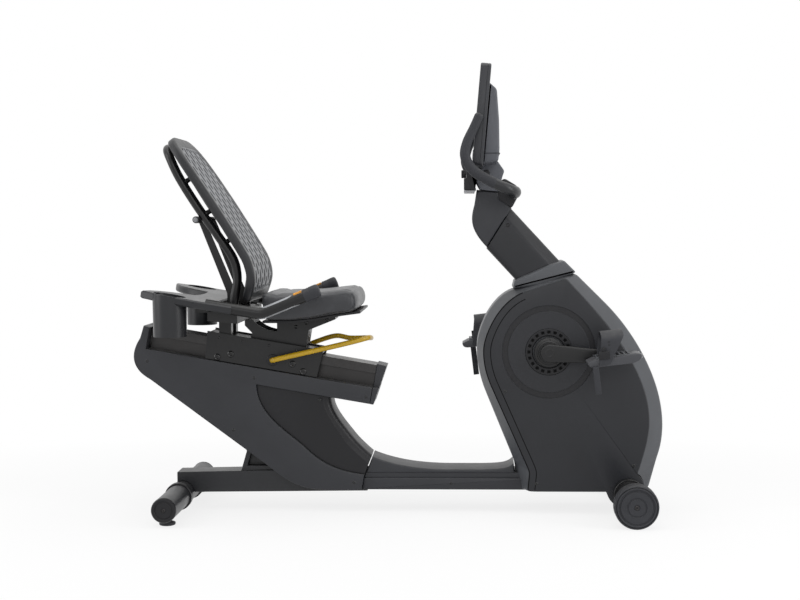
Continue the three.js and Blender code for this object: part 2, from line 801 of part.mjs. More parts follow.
// A plate with round corners that faces along x.
function facePlate(width, height, corner, xLow, xHigh, bevel = 0) {
  const w = width / 2;
  const h = height / 2;
  const shape = new THREE.Shape();
  shape.absarc(w - corner, h - corner, corner, 0, Math.PI / 2);
  shape.absarc(corner - w, h - corner, corner, Math.PI / 2, Math.PI);
  shape.absarc(corner - w, corner - h, corner, Math.PI, 1.5 * Math.PI);
  shape.absarc(w - corner, corner - h, corner, 1.5 * Math.PI, 2 * Math.PI);
  const body = new THREE.ExtrudeGeometry(shape, {
    depth: xHigh - xLow - 2 * bevel,
    bevelEnabled: bevel > 0,
    bevelThickness: bevel,
    bevelSize: bevel,
    bevelOffset: -bevel,
    bevelSegments: 1,
    curveSegments: 4,
  });
  body.rotateX(Math.PI / 2);
  body.rotateZ(Math.PI / 2);
  body.translate(xLow + bevel, 0, 0);
  return solid(body);
}

const halfConsole = consoleThickness / 2;
const screenZ = 20;

function consoleBezel() {
  const body = facePlate(consoleWidth, consoleHeight, 16, -halfConsole, halfConsole, 2.5);
  const room = 2 * gap;
  const pocket = facePlate(screenWidth + room, screenHeight + room, 4, -halfConsole - 5, -halfConsole + 4);
  return cut(body, solid(geometryOf(pocket), new THREE.Matrix4().makeTranslation(0, 0, screenZ)));
}

const screenBack = -halfConsole + 4 - gap;

place(consoleGroup, "console_bezel", consoleBezel(), satinBlack);
place(consoleGroup, "console_screen",
  facePlate(screenWidth, screenHeight, 4, screenBack - screenThickness, screenBack), glass, 0, 0, screenZ);

function consoleHousing() {
  const upper = outline([
    [273, 1239],
    [291, 1219],
    [297, 1132],
    [298, 1048],
    [294, 1016],
    [249, 1008],
  ]);
  const lower = outline([
    [249, 1016],
    [294, 1022],
    [314, 993],
    [307, 973],
    [298, 933 + gap],
    [243, 939 + gap],
    [224, 975],
    [243, 997],
  ]);
  const body = join(
    slab(upper, -housingHalfWidth, housingHalfWidth, { bevel: 6 }),
    slab(lower, -stemHalfWidth, stemHalfWidth, { bevel: 3 }));
  const slabSpace = box(
    -halfConsole - 60, halfConsole + gap, -300, 300, -consoleHeight / 2 - gap, 400, consoleGroup.matrixWorld);
  return cut(body, slabSpace);
}

const barHalf = [
  [243, -barY, 1148],
  [227, -barY - 2, 1110],
  [206, -barY - 4, 1064],
  [202, -barY - 4, 1026],
  [224, -barY, 989],
  [270, -barY + 6, 960],
  [318, -barY + 18, 938],
  [338, -barY + 50, 930],
  [341, -barY + 95, 930],
];
const barPath = [...barHalf, [341, 0, 930], ...mirrored(barHalf)];
const handlebar = (grow) => bar(barPath, barRadius + grow, { sides: 8, steps: 44 });

// The clamp stands out from the neck's front and holds the bar.
function barClamp() {
  const shape = outline([[302, 955], [318, 950], [362, 946], [362, 905], [330, 888], [303, 915]]);
  const body = slab(shape, -50, 50, { bevel: 3 });
  const neckSpace = outline([
    [200, 800], [337.5, 800], [337.5, 886], [300.6, 912.4], [298.6, 932], [316, 993], [200, 993]]);
  return cut(body, handlebar(gap), mastBar(grownSection(gap), 0, 500), slab(neckSpace, -60, 60));
}

function controlPod() {
  const shape = outline([
    [197, 939], [232.3, 938], [223.4, 974.5], [241.3, 996], [204, 996], [204, 972], [197, 972]]);
  return slab(shape, -90, 90, { bevel: 2 });
}

place(bike, "console_housing", consoleHousing(), lightCharcoal);
place(bike, "console_handlebar", handlebar(0), charcoal);
place(bike, "handlebar_clamp", barClamp(), satinBlack);
place(bike, "control_pod", controlPod(), satinBlack);

function dial() {
  const profile = [[0, 0], [dialRadius - 1.5, 0], [dialRadius, 1.5], [dialRadius, dialLength], [0, dialLength]];
  const geometry = new THREE.LatheGeometry(profile.map(([r, h]) => new THREE.Vector2(r, h)), 20);
  geometry.rotateZ(-Math.PI / 2);
  return solid(geometry);
}

place(bike, "control_dial", dial(), satinBlack, 204 - gap - dialLength, -60, 984.5);

// ---- crank and pedals ----
const armHalf = armY + armThickness / 2;
const crankGroup = new THREE.Group();
crankGroup.position.set(crankX, 0, crankZ);
bike.add(crankGroup);

function crankAxle() {
  const end = armHalf - 4;
  return turned([
    [0, -end],
    [axleShaftRadius - 2, -end],
    [axleShaftRadius - 2, -armY + armThickness],
    [axleShaftRadius, -armY + armThickness],
    [axleShaftRadius, armY - armThickness],
    [axleShaftRadius - 2, armY - armThickness],
    [axleShaftRadius - 2, end],
    [0, end],
  ]);
}

function drivePulley() {
  const half = pulleyWidth / 2;
  return turned([
    [axleShaftRadius + gap, pulleyY - half - 5],
    [30, pulleyY - half - 5],
    [34, pulleyY - 3],
    [pulleyRadius - 8, pulleyY - 3],
    [pulleyRadius - 6, pulleyY - half],
    [pulleyRadius, pulleyY - half],
    [pulleyRadius, pulleyY + half],
    [pulleyRadius - 6, pulleyY + half],
    [pulleyRadius - 8, pulleyY + 3],
    [34, pulleyY + 3],
    [30, pulleyY + half + 5],
    [axleShaftRadius + gap, pulleyY + half + 5],
  ], { sides: 24 });
}

// The right arm reaches forwards and the left one backwards, half a turn apart.
function crankArm(side, reach) {
  const inner = armY - armThickness / 2;
  const low = side < 0 ? -armHalf : inner;
  const high = side < 0 ? -inner : armHalf;
  const pedalEnd = 17;
  const ankle = 26;
  const shape = new THREE.Shape();
  shape.absarc(0, 0, ankle, Math.PI / 2, 1.5 * Math.PI);
  shape.absarc(crankLength, 0, pedalEnd, -Math.PI / 2, Math.PI / 2);
  const turn = new THREE.Matrix4().makeRotationY(crankTilt + (reach < 0 ? Math.PI : 0));
  const arm = slab(shape, low, high, { segments: 8, bevel: 2, matrix: turn });
  const hubFace = side * (panelHalfWidth + 5);
  const hub = side < 0 ? rod(hubRadius, -inner - 5, hubFace) : rod(hubRadius, hubFace, inner + 5);
  const bore = rod(axleShaftRadius - 2 + gap, -300, 300);
  const collarBore = rod(axleShaftRadius + gap, -armY + armThickness - gap, armY - armThickness + gap);
  const spindleX = Math.cos(crankTilt) * crankLength * reach;
  const spindleZ = -Math.sin(crankTilt) * crankLength * reach;
  const spindleBore = rod(7 + runningGap, -300, 300, { x: spindleX, z: spindleZ });
  const keepSide = side < 0 ? box(-400, 400, -200, 0, -400, 400) : box(-400, 400, 0, 200, -400, 400);
  return cut(join(arm, hub), bore, collarBore.intersect(keepSide), spindleBore);
}

place(crankGroup, "crank_axle", crankAxle(), steel);
place(crankGroup, "drive_pulley", drivePulley(), blackSteel);
place(crankGroup, "crank_arm_right", crankArm(-1, 1), blackSteel);
place(crankGroup, "crank_arm_left", crankArm(1, -1), blackSteel);

// Built for the right side, about its own spindle: the platform lies outboard of the arm.
const pedalInner = -armHalf - 8;
const pedalOuter = pedalInner - pedalWidth;

function pedal() {
  const half = pedalLength / 2;
  const thick = pedalThickness / 2;
  const shape = new THREE.Shape();
  shape.moveTo(-half, 2);
  shape.bezierCurveTo(-half, -thick, -half + 12, -thick, -half + 26, -thick);
  shape.lineTo(half - 40, -thick);
  shape.bezierCurveTo(half - 12, -thick, half, -4, half, 6);
  shape.bezierCurveTo(half, thick, half - 10, thick, half - 20, thick);
  shape.lineTo(18 - half, thick - 4);
  const turn = new THREE.Matrix4().makeRotationY(-pedalTilt);
  const body = slab(shape, pedalOuter, pedalInner, { bevel: 3, matrix: turn });
  const spindle = rod(7, pedalInner - 20, -armHalf + armThickness - 1);
  return join(body, spindle, rod(11, pedalInner - 4, -armHalf - 1));
}

// A rubber band that arches over the shoe from one long edge of the pedal to the other.
function strap() {
  const low = pedalThickness / 2 - 1;
  const y0 = pedalOuter - strapThickness - gap - 1;
  const y1 = pedalInner + strapThickness + gap + 1;
  const bandShape = (inside) => {
    const shape = new THREE.Shape();
    shape.moveTo(y0 + inside, low - 20);
    shape.lineTo(y0 + inside, low + strapHeight - 34);
    shape.bezierCurveTo(
      y0 + inside, low + strapHeight + 6 - inside, y1 - inside, low + strapHeight + 6 - inside,
      y1 - inside, low + strapHeight - 34);
    shape.lineTo(y1 - inside, low - 20);
    return shape;
  };
  const along = (shape, length) => {
    const geometry = new THREE.ExtrudeGeometry(shape, { depth: length, bevelEnabled: false, curveSegments: 8 });
    geometry.rotateX(Math.PI / 2);
    geometry.rotateZ(Math.PI / 2);
    geometry.translate(-32, 0, 0);
    return geometry;
  };
  const turn = new THREE.Matrix4().makeRotationY(-pedalTilt);
  const inner = along(bandShape(strapThickness), strapWidth + 20);
  inner.translate(-10, 0, 0);
  const drop = along(bandShape(strapThickness), strapWidth + 20);
  drop.translate(-10, 0, -30);
  const boss = rod(11 + gap, -300, 0);
  return cut(solid(along(bandShape(0), strapWidth), turn), solid(inner, turn), solid(drop, turn), boss);
}

const pedalBody = pedal();
const strapBody = strap();

function placePedal(side, reach) {
  const x = crankX + Math.cos(crankTilt) * crankLength * reach;
  const z = crankZ - Math.sin(crankTilt) * crankLength * reach;
  const turn = side < 0 ? (body) => body : mirror;
  const word = side < 0 ? "right" : "left";
  place(bike, "pedal_" + word, turn(pedalBody), satinBlack, x, 0, z);
  place(bike, "pedal_strap_" + word, turn(strapBody), rubber, x, 0, z);
}
placePedal(-1, 1);
placePedal(1, -1);

// ---- flywheel and belt ----
function flywheel() {
  const shaft = flywheelShaftRadius;
  const end = pulleyY + pulleyWidth / 2;
  return turned([
    [0, -uprightHalfWidth - 6],
    [shaft, -uprightHalfWidth - 6],
    [shaft, -flywheelHalf],
    [flywheelRadius - 2, -flywheelHalf],
    [flywheelRadius, 2 - flywheelHalf],
    [flywheelRadius, flywheelHalf - 2],
    [flywheelRadius - 2, flywheelHalf],
    [shaft, flywheelHalf],
    [shaft, pulleyY - pulleyWidth / 2],
    [smallPulleyRadius, pulleyY - pulleyWidth / 2],
    [smallPulleyRadius, end],
    [0, end],
  ], { sides: 24 });
}

// Straight runs between the two pulleys and an arc round each.
function driveBelt() {
  const dx = flywheelX - crankX;
  const dz = flywheelZ - crankZ;
  const along = Math.atan2(dz, dx);
  const spread = Math.acos((pulleyRadius - smallPulleyRadius) / Math.hypot(dx, dz));
  const loop = (offset) => {
    const shape = new THREE.Shape();
    shape.absarc(crankX, crankZ, pulleyRadius + offset, along + spread, along - spread + 2 * Math.PI);
    shape.absarc(flywheelX, flywheelZ, smallPulleyRadius + offset, along - spread, along + spread);
    return shape;
  };
  const low = pulleyY - pulleyWidth / 2 + 1;
  const high = pulleyY + pulleyWidth / 2 - 1;
  const outer = slab(loop(0.8 + beltThickness), low, high, { segments: 16 });
  return cut(outer, slab(loop(0.8), low - 5, high + 5, { segments: 16 }));
}

place(bike, "flywheel", flywheel(), iron, flywheelX, 0, flywheelZ);
place(bike, "drive_belt", driveBelt(), rubber);

// ---- carriage ----
// A channel over the rail: two side plates and a deck, with the rollers' hubs inside the plates.
function carriage() {
  const lean = 6;
  const side = outline([
    [plateRear, plateTop - 1],
    [plateFront, plateTop],
    [plateFront - lean, plateBottom],
    [plateRear + lean, plateBottom],
  ]);
  const inner = plateHalfWidth - plateThickness;
  const plates = [slab(side, -plateHalfWidth, -inner), slab(side, inner, plateHalfWidth)];
  const deck = box(plateRear + 2, plateFront - 3, 1 - plateHalfWidth, plateHalfWidth - 1, 6, 14);
  const high = channelTop - rollerRadius - gap;
  const low = channelBottom + rollerRadius + gap;
  const hubs = [[-125, low], [-87, high], [96, high], [131, low]].flatMap(([u, w]) => [
    rod(rollerRadius, railHalfWidth - channelDepth + 2, inner + 1, { x: u, z: w, sides: 12 }),
    rod(rollerRadius, -inner - 1, channelDepth - railHalfWidth - 2, { x: u, z: w, sides: 12 }),
  ]);
  const pivot = rod(leverRadius + 1, -200, 200, { x: leverPivotU, z: leverPivotW });
  return cut(join(plates[0], plates[1], deck, ...hubs), pivot);
}

place(rail, "carriage", carriage(), satinBlack);

const [pivotX, pivotZ] = railPoint(leverPivotU, leverPivotW);
const pivotInner = plateHalfWidth - plateThickness - 12;

// One bent rod: a pivot end through each plate, an arm on each side and a bar across to pull on.
function releaseLever(grow) {
  const y = leverHalfWidth;
  return bar([
    [pivotX, -pivotInner, pivotZ],
    [pivotX, -plateHalfWidth - 12, pivotZ],
    [pivotX + 8, -y, pivotZ + 3],
    [pivotX + 40, -y - 4, pivotZ + 11],
    [-191, -y, 488],
    [-125, -y, 503.5],
    [-92, -y + 12, 511.5],
    [-80, -y + 40, 512.5],
    [-84, y - 40, 501.5],
    [-100, y - 8, 499.5],
    [-150, y, 498.5],
    [-193, y, 505],
    [-250, y + 3, 488.5],
    [pivotX + 40, y + 4, pivotZ + 11],
    [pivotX + 8, y, pivotZ + 3],
    [pivotX, plateHalfWidth + 12, pivotZ],
    [pivotX, pivotInner, pivotZ],
  ], leverRadius + grow, { sides: 8, steps: 44 });
}

place(bike, "release_lever", releaseLever(0), yellow);

// ---- seat ----
const deckTop = 14 + gap;

// The cushion's underside, front to back, which the pan follows.
const seatLine = [[-99, 596], [-153, 589], [-233, 575], [-295, 569], [-380, 569]];
const panThickness = 7.5;

function panUnderside(x) {
  const i = seatLine.findIndex((point) => point[0] <= x);
  const [[x0, z0], [x1, z1]] = [seatLine[i - 1], seatLine[i]];
  return z0 + ((z1 - z0) * (x - x0)) / (x1 - x0) - panThickness;
}

// Bent steel on the deck, with an arm forward under the seat and one back to the handles' frame.
function seatBracket() {
  const [rearX, rearZ] = railPoint(-40, deckTop);
  const [frontX, frontZ] = railPoint(126, deckTop);
  const shape = new THREE.Shape();
  shape.moveTo(rearX, rearZ);
  shape.lineTo(-426, 526);
  shape.lineTo(-447, 548);
  shape.lineTo(-447, 565);
  shape.lineTo(-424, 565);
  shape.bezierCurveTo(-408, 545, -385, 533, -352, 529);
  for (const x of [-352, -295, -233, -180]) shape.lineTo(x, panUnderside(x) - gap);
  shape.lineTo(-180, panUnderside(-180) - 12);
  shape.lineTo(-258, 534);
  shape.lineTo(frontX, frontZ);
  const body = slab(shape, -bracketHalfWidth, bracketHalfWidth);
  const inner = slab(shape, 4 - bracketHalfWidth, bracketHalfWidth - 4);
  const openTop = box(-440, -190, 4 - bracketHalfWidth, bracketHalfWidth - 4, 400, 556);
  const floor = solid(new THREE.BoxGeometry(400, 200, 8), railMatrix.clone().multiply(
    new THREE.Matrix4().makeTranslation(40, 0, deckTop)));
  return cut(body, cut(inner.intersect(openTop), floor));
}

function seatPan() {
  const top = seatLine.map(([x, z]) => [x, z - gap]);
  const bottom = [...seatLine].reverse().map(([x, z]) => [x, z - panThickness]);
  return slab(outline([...top, ...bottom]), -150, 150);
}

function seatCushion() {
  const shape = new THREE.Shape();
  const line = [...seatLine].reverse();
  shape.moveTo(...line[0]);
  for (const [x, z] of line.slice(1)) shape.lineTo(x, z);
  shape.bezierCurveTo(-80, 603, -76, 650, -100, 668);
  shape.lineTo(-232, 650);
  shape.lineTo(-330, 645);
  shape.lineTo(-390, 650);
  return slab(shape, -cushionHalfWidth, cushionHalfWidth, { bevel: cushionBevel, segments: 4 });
}

place(bike, "seat_bracket", seatBracket(), blackSteel);
place(bike, "seat_pan", seatPan(), satinBlack);
place(bike, "seat_cushion", seatCushion(), vinyl);

// ---- backrest ----
// Side profile of the backrest's rear face, top to bottom.
const backRear = [[-658, 1086], [-613, 1025], [-441, 758], [-425, 724], [-419, 690], [-427, 655], [-437, 628]];

// The rear face's profile moved forwards by a distance.
const backLine = (distance) =>
  inset(inRow([...backRear, [-2000, 600], [-2000, 1092]]), -distance).slice(0, backRear.length);

function backrest() {
  const shape = new THREE.Shape([...backLine(0), ...backLine(backThickness).reverse()]);
  const body = slab(shape, -backHalfWidth, backHalfWidth, { bevel: 4 });
  const w = backHalfWidth;
  const corner = 95;
  const faceOutline = new THREE.Shape();
  const low = 620;
  const high = 1100;
  faceOutline.moveTo(-w + 45, low);
  faceOutline.lineTo(w - 45, low);
  faceOutline.bezierCurveTo(w - 12, low, w - 2, low + 30, w, low + 90);
  faceOutline.lineTo(w, high - corner);
  faceOutline.bezierCurveTo(w, high - 20, w - 50, high, w - corner, high);
  faceOutline.lineTo(corner - w, high);
  faceOutline.bezierCurveTo(50 - w, high, -w, high - 20, -w, high - corner);
  faceOutline.lineTo(-w, low + 90);
  faceOutline.bezierCurveTo(2 - w, low + 30, 12 - w, low, 45 - w, low);
  const along = (points) => {
    const geometry = new THREE.ExtrudeGeometry(new THREE.Shape(points), { depth: 400, bevelEnabled: false });
    geometry.rotateX(Math.PI / 2);
    geometry.rotateZ(Math.PI / 2);
    geometry.translate(-750, 0, 0);
    return solid(geometry);
  };
  const facePoints = cleanPoints(faceOutline, 5);
  const panelBehind = slab(
    new THREE.Shape([...backLine(-30), ...backLine(backThickness - backPanel).reverse()]), -w, w);
  return cut(body.intersect(along(facePoints)), panelBehind.intersect(along(inset(facePoints, 26))));
}

const tubeSide = [
  [-469, -backTubeY, 596],
  [-462, -backTubeY, 640],
  [-455, -backTubeY, 690],
  [-466, -backTubeY, 745],
  [-508, -backTubeY, 810],
  [-566, -backTubeY, 893],
  [-618, -backTubeY, 977],
  [-646, -backTubeY + 6, 1035],
  [-661, -backTubeY + 42, 1062],
];
const backTubeBar = (grow) =>
  bar([...tubeSide, [-664, 0, 1066], ...mirrored(tubeSide)], backTubeRadius + grow, { sides: 8, steps: 46 });

// Short bosses that carry the backrest's panel on the tube, square to its straight part.
function backSpacers() {
  const along = new THREE.Vector2(backRear[2][0] - backRear[1][0], backRear[2][1] - backRear[1][1]).normalize();
  const across = new THREE.Vector2(-along.y, along.x);
  const start = new THREE.Vector2(...backRear[1]);
  const panelBack = backThickness - backPanel - gap;
  return [[-609, 962], [-550, 871], [-494, 788]].flatMap((place) => {
    const foot = new THREE.Vector2(...place);
    const reach = start.clone().sub(foot).dot(across) + panelBack;
    const head = foot.clone().addScaledVector(across, reach);
    return [backTubeY, -backTubeY].map((y) => {
      const geometry = new THREE.CylinderGeometry(spacerRadius, spacerRadius, foot.distanceTo(head), 12);
      geometry.rotateX(Math.PI / 2);
      geometry.rotateY(Math.atan2(across.x, across.y));
      geometry.translate((foot.x + head.x) / 2, y, (foot.y + head.y) / 2);
      return solid(geometry);
    });
  });
}

// Two stays, a cross tube at their heads that the back tube leans on, and a foot plate.
function backBrace() {
  const foot = beamTopZ + gap;
  const shape = outline([[-575, 862], [-555, 862], [-462, 640], [-459, foot], [-489, foot], [-491, 645]]);
  const stays = [slab(shape, -braceY, 5 - braceY), slab(shape, braceY - 5, braceY)];
  const crossTube = rod(10, -backTubeY - 12, backTubeY + 12, { x: -571, z: 858, sides: 16 });
  const plate = box(-489, -476, 1 - braceY, braceY - 1, foot, foot + 6);
  return join(stays[0], stays[1], crossTube, plate);
}

place(bike, "backrest", backrest(), charcoal);
const belowBeamTop = box(-600, -400, -200, 200, 500, beamTopZ + gap);
place(bike, "back_tube", cut(join(backTubeBar(0), ...backSpacers()), belowBeamTop), satinBlack);
place(bike, "back_brace", cut(backBrace(), backTubeBar(gap)), satinBlack);

// ---- tray, handles and their frame ----
const handleHalf = [
  [-150, -handleY, trayW + 14],
  [-60, -handleY, trayW + 14],
  [0, -handleY, trayW + 15],
  [22, -handleY, trayW + 22],
  [90, -handleY, trayW + 64],
  [152, -handleY, trayW + 103],
];
const handleBar = (radius) => bar(handleHalf, radius, { sides: 10, steps: 16, tension: 0.35 });
const handleEnd = new THREE.Vector3(62, 0, 39).normalize();

function gripSolid(radius, start, length, bevel) {
  const end = start + length;
  const profile = [[0, start], [radius - bevel, start], [radius, start + bevel], [radius, end - bevel]];
  profile.push([radius - bevel, end], [0, end]);
  const geometry = new THREE.LatheGeometry(profile.map(([r, h]) => new THREE.Vector2(r, h)), 20);
  const turn = new THREE.Quaternion().setFromUnitVectors(new THREE.Vector3(0, 1, 0), handleEnd);
  geometry.applyQuaternion(turn);
  geometry.translate(152, -handleY, trayW + 103);
  return solid(geometry);
}

const buttonStart = -gripLength + 6 - buttonLength;

// A button lies across the top of the bar, just behind the grip; its pocket is deeper by its travel.
function gripButton(grow, depth) {
  const start = buttonStart - grow;
  const end = buttonStart + buttonLength + grow;
  const body = box(start, end, -8 - grow, 8 + grow, handleRadius - 6 - depth, handleRadius + 3);
  const turn = new THREE.Matrix4().makeRotationY(-Math.atan2(handleEnd.z, handleEnd.x));
  turn.setPosition(152, -handleY, trayW + 103);
  return solid(geometryOf(body), turn);
}

const gripBore = gripSolid(handleRadius + gap, -200, 200 + gap, 0.01);
const grip = cut(gripSolid(gripRadius, -gripLength + 8, gripLength, 4), gripBore);

const trayFront = -72;
const trayRecess = trayFront - 56;

// The plan of the tray: two lobes behind, each round a cup, joined across the front.
function tray() {
  const side = 292;
  const tip = -338;
  const front = trayFront;
  const notch = 120;
  const shape = new THREE.Shape();
  shape.moveTo(front, -side + 12);
  shape.lineTo(front, -side + 60);
  shape.bezierCurveTo(front - 20, -side + 90, trayRecess + 2, -165, trayRecess, -150);
  shape.lineTo(trayRecess, 150);
  shape.bezierCurveTo(trayRecess + 2, 165, front - 20, side - 90, front, side - 60);
  shape.lineTo(front, side - 12);
  shape.bezierCurveTo(front - 90, side, tip + 90, side + 6, tip, side - 52);
  shape.bezierCurveTo(tip + 10, notch + 30, tip + 60, notch, -215, notch - 20);
  shape.bezierCurveTo(-205, 40, -205, -40, -215, 20 - notch);
  shape.bezierCurveTo(tip + 60, -notch, tip + 10, -notch - 30, tip, 52 - side);
  shape.bezierCurveTo(tip + 90, -side - 6, front - 90, -side, front, 12 - side);
  const geometry = new THREE.ExtrudeGeometry(shape, {
    depth: trayThickness - 8,
    bevelThickness: 4,
    bevelSize: 4,
    bevelOffset: -4,
    bevelSegments: 1,
    curveSegments: 5,
  });
  geometry.translate(0, 0, trayW + 4);
  const board = solid(geometry, railMatrix);
  const deckAbove = box(-600, 200, -400, 400, trayW + trayThickness, trayW + 200, railMatrix);
  const cup = (y, radius, low) => {
    const cylinder = new THREE.CylinderGeometry(radius, radius - 2, 700 - low, 24);
    cylinder.rotateX(Math.PI / 2);
    cylinder.translate(cupX, y, (700 + low) / 2);
    return solid(cylinder);
  };
  const outer = [cup(cupY, cupRadius, cupBottomZ), cup(-cupY, cupRadius, cupBottomZ)];
  const walls = outer.map((body) => body.subtract(deckAbove));
  const hollows = [
    cup(cupY, cupRadius - cupWall, cupBottomZ + cupWall),
    cup(-cupY, cupRadius - cupWall, cupBottomZ + cupWall),
  ];
  const sockets = [solid(geometryOf(handleBar(handleRadius + gap)), railMatrix)];
  sockets.push(mirror(sockets[0]));
  return cut(join(board, ...walls), ...hollows, ...sockets);
}

const handle = cut(handleBar(handleRadius), gripButton(gap, buttonTravel + gap));
place(bike, "tray", tray(), lightCharcoal);
placePair(rail, "handle", handle, charcoal);
placePair(rail, "grip", grip, rubber);
placePair(rail, "grip_button", gripButton(0, 0), yellow);

// The frame under the tray: a cross beam with two posts down to the carriage deck.
function armFrame() {
  const beam = slab(outline([[-522, 574], [-438, 566], [-438, beamTopZ - 8], [-446, beamTopZ], [-522, beamTopZ]]), -235, 235);
  const post = (y) => slab(outline([[-521, 596], [-521, 500], [-485, 500], [-485, 596]]), y - 16, y + 16);
  const support = (y) => box(-560, -500, y - 12, y + 12, 596, 640);
  const recess = join(
    box(-900, trayRecess + gap, -400, 400, trayW - gap, 300, railMatrix),
    box(-900, 200, 148, 400, trayW - gap, 300, railMatrix),
    box(-900, 200, -400, -148, trayW - gap, 300, railMatrix));
  const underDeck = box(-900, 200, -400, 400, -300, deckTop, railMatrix);
  const body = join(beam, post(-45), post(45), support(-200), support(200));
  const bracketSpace = box(-447 - gap, -400, -60, 60, 400, 565 + gap);
  return cut(body, recess, underDeck, bracketSpace);
}

place(bike, "arm_frame", armFrame(), blackSteel);

export default bike;
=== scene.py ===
import json
import math

import bmesh
import bpy
import numpy as np
from mathutils import Matrix, Vector

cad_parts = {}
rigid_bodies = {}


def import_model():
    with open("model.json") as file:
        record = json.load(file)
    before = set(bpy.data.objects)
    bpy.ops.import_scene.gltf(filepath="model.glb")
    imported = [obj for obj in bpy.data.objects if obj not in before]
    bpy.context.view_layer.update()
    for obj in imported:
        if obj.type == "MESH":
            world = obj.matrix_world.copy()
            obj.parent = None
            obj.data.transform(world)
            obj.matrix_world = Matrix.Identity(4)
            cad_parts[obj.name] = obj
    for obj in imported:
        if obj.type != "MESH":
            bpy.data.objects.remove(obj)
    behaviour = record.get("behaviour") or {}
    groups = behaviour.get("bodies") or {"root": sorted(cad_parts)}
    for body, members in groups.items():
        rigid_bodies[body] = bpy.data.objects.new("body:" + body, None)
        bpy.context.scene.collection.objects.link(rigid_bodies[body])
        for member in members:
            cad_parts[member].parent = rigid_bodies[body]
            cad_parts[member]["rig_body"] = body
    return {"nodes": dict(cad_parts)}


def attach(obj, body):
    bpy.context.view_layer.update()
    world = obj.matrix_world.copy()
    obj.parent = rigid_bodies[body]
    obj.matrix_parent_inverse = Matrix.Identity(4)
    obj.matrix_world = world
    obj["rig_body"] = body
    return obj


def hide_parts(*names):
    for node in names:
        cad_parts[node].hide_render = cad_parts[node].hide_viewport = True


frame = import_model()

scene = bpy.context.scene
nodes = frame["nodes"]
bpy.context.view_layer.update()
mm = 0.001  # every size below is in millimetres, +X forwards, +Y to the rider's left, +Z up
scene.view_settings.view_transform = "Standard"
print("frame loaded:", len(nodes), "nodes")

# camera: looks along +Y from the rider's right, a little down and to the rear
camera = {"place": (0.2113, -4.150, 0.8465), "lens": 63.495, "down": 3.145, "turn": 2.816, "roll": -0.38}


def makeCamera():
    down, turn, roll = (math.radians(camera[key]) for key in ("down", "turn", "roll"))
    ahead = Vector((-math.sin(turn) * math.cos(down), math.cos(turn) * math.cos(down), -math.sin(down)))
    level = ahead.cross(Vector((0, 0, 1))).normalized()
    upright = level.cross(ahead)
    right = level * math.cos(roll) + upright * math.sin(roll)
    up = upright * math.cos(roll) - level * math.sin(roll)
    data = bpy.data.cameras.new("camera")
    data.lens = camera["lens"]
    data.sensor_width = 36
    view = bpy.data.objects.new("camera", data)
    view.matrix_world = Matrix.Translation(camera["place"]) @ Matrix((right, up,
            -ahead)).transposed().to_4x4()
    scene.collection.objects.link(view)
    scene.camera = view


makeCamera()

# lamps: soft panels as (place, aimed at, width, height, watts)
lamps = {
    "overhead": ((0.1, -0.2, 3.2), (0, 0, 0.5), 3.6, 2.4, 38),
    "ahead": ((3.0, -1.3, 1.5), (0.2, 0, 0.6), 1.2, 2.4, 34),
    "behind": ((-3.0, -1.0, 1.6), (-0.3, 0, 0.6), 1.2, 2.4, 26),
    "near": ((0.6, -4.6, 2.4), (0, 0, 0.6), 3.0, 1.6, 30),
}
studio = {"ambient": 0.55, "floorWhite": 0.92, "fadeStart": 1.15, "fadeEnd": 1.9, "nearWhite": 0.8}


def makeLamp(name, place, target, width, height, watts):
    data = bpy.data.lights.new(name, "AREA")
    data.shape = "RECTANGLE"
    data.size = width
    data.size_y = height
    data.energy = watts
    lamp = bpy.data.objects.new(name, data)
    aim = (Vector(target) - Vector(place)).to_track_quat("-Z", "Y")
    lamp.matrix_world = Matrix.Translation(place) @ aim.to_matrix().to_4x4()
    scene.collection.objects.link(lamp)


for lampName, facts in lamps.items():
    makeLamp(lampName, *facts)


# node helpers
def addNode(tree, kind, inputs=None, **settings):
    node = tree.nodes.new(kind)
    for key, value in settings.items():
        setattr(node, key, value)
    for key, value in (inputs or {}).items():
        if isinstance(value, bpy.types.NodeSocket):
            tree.links.new(value, node.inputs[key])
        else:
            node.inputs[key].default_value = value
    return node


def maths(tree, operation, first, second=0.0, third=0.0):
    node = addNode(tree, "ShaderNodeMath", {0: first, 1: second, 2: third}, operation=operation)
    return node.outputs[0]


def ramp(tree, value, low, high, fromOut=0.0, toOut=1.0):
    inputs = {"Value": value, "From Min": low, "From Max": high, "To Min": fromOut, "To Max": toOut}
    return addNode(tree, "ShaderNodeMapRange", inputs).outputs[0]


def mixColour(tree, factor, first, second, blend="MIX"):
    node = addNode(tree, "ShaderNodeMix", {0: factor, 6: first, 7: second}, data_type="RGBA",
                   blend_type=blend)
    return node.outputs[2]


def newGroup(name, inputs, outputs):
    group = bpy.data.node_groups.new(name, "ShaderNodeTree")
    for label, kind, value in inputs:
        socket = group.interface.new_socket(name=label, in_out="INPUT", socket_type="NodeSocket" + kind)
        if value is not None:
            socket.default_value = value
    for label, kind in outputs:
        group.interface.new_socket(name=label, in_out="OUTPUT", socket_type="NodeSocket" + kind)
    return group, group.nodes.new("NodeGroupInput"), group.nodes.new("NodeGroupOutput")


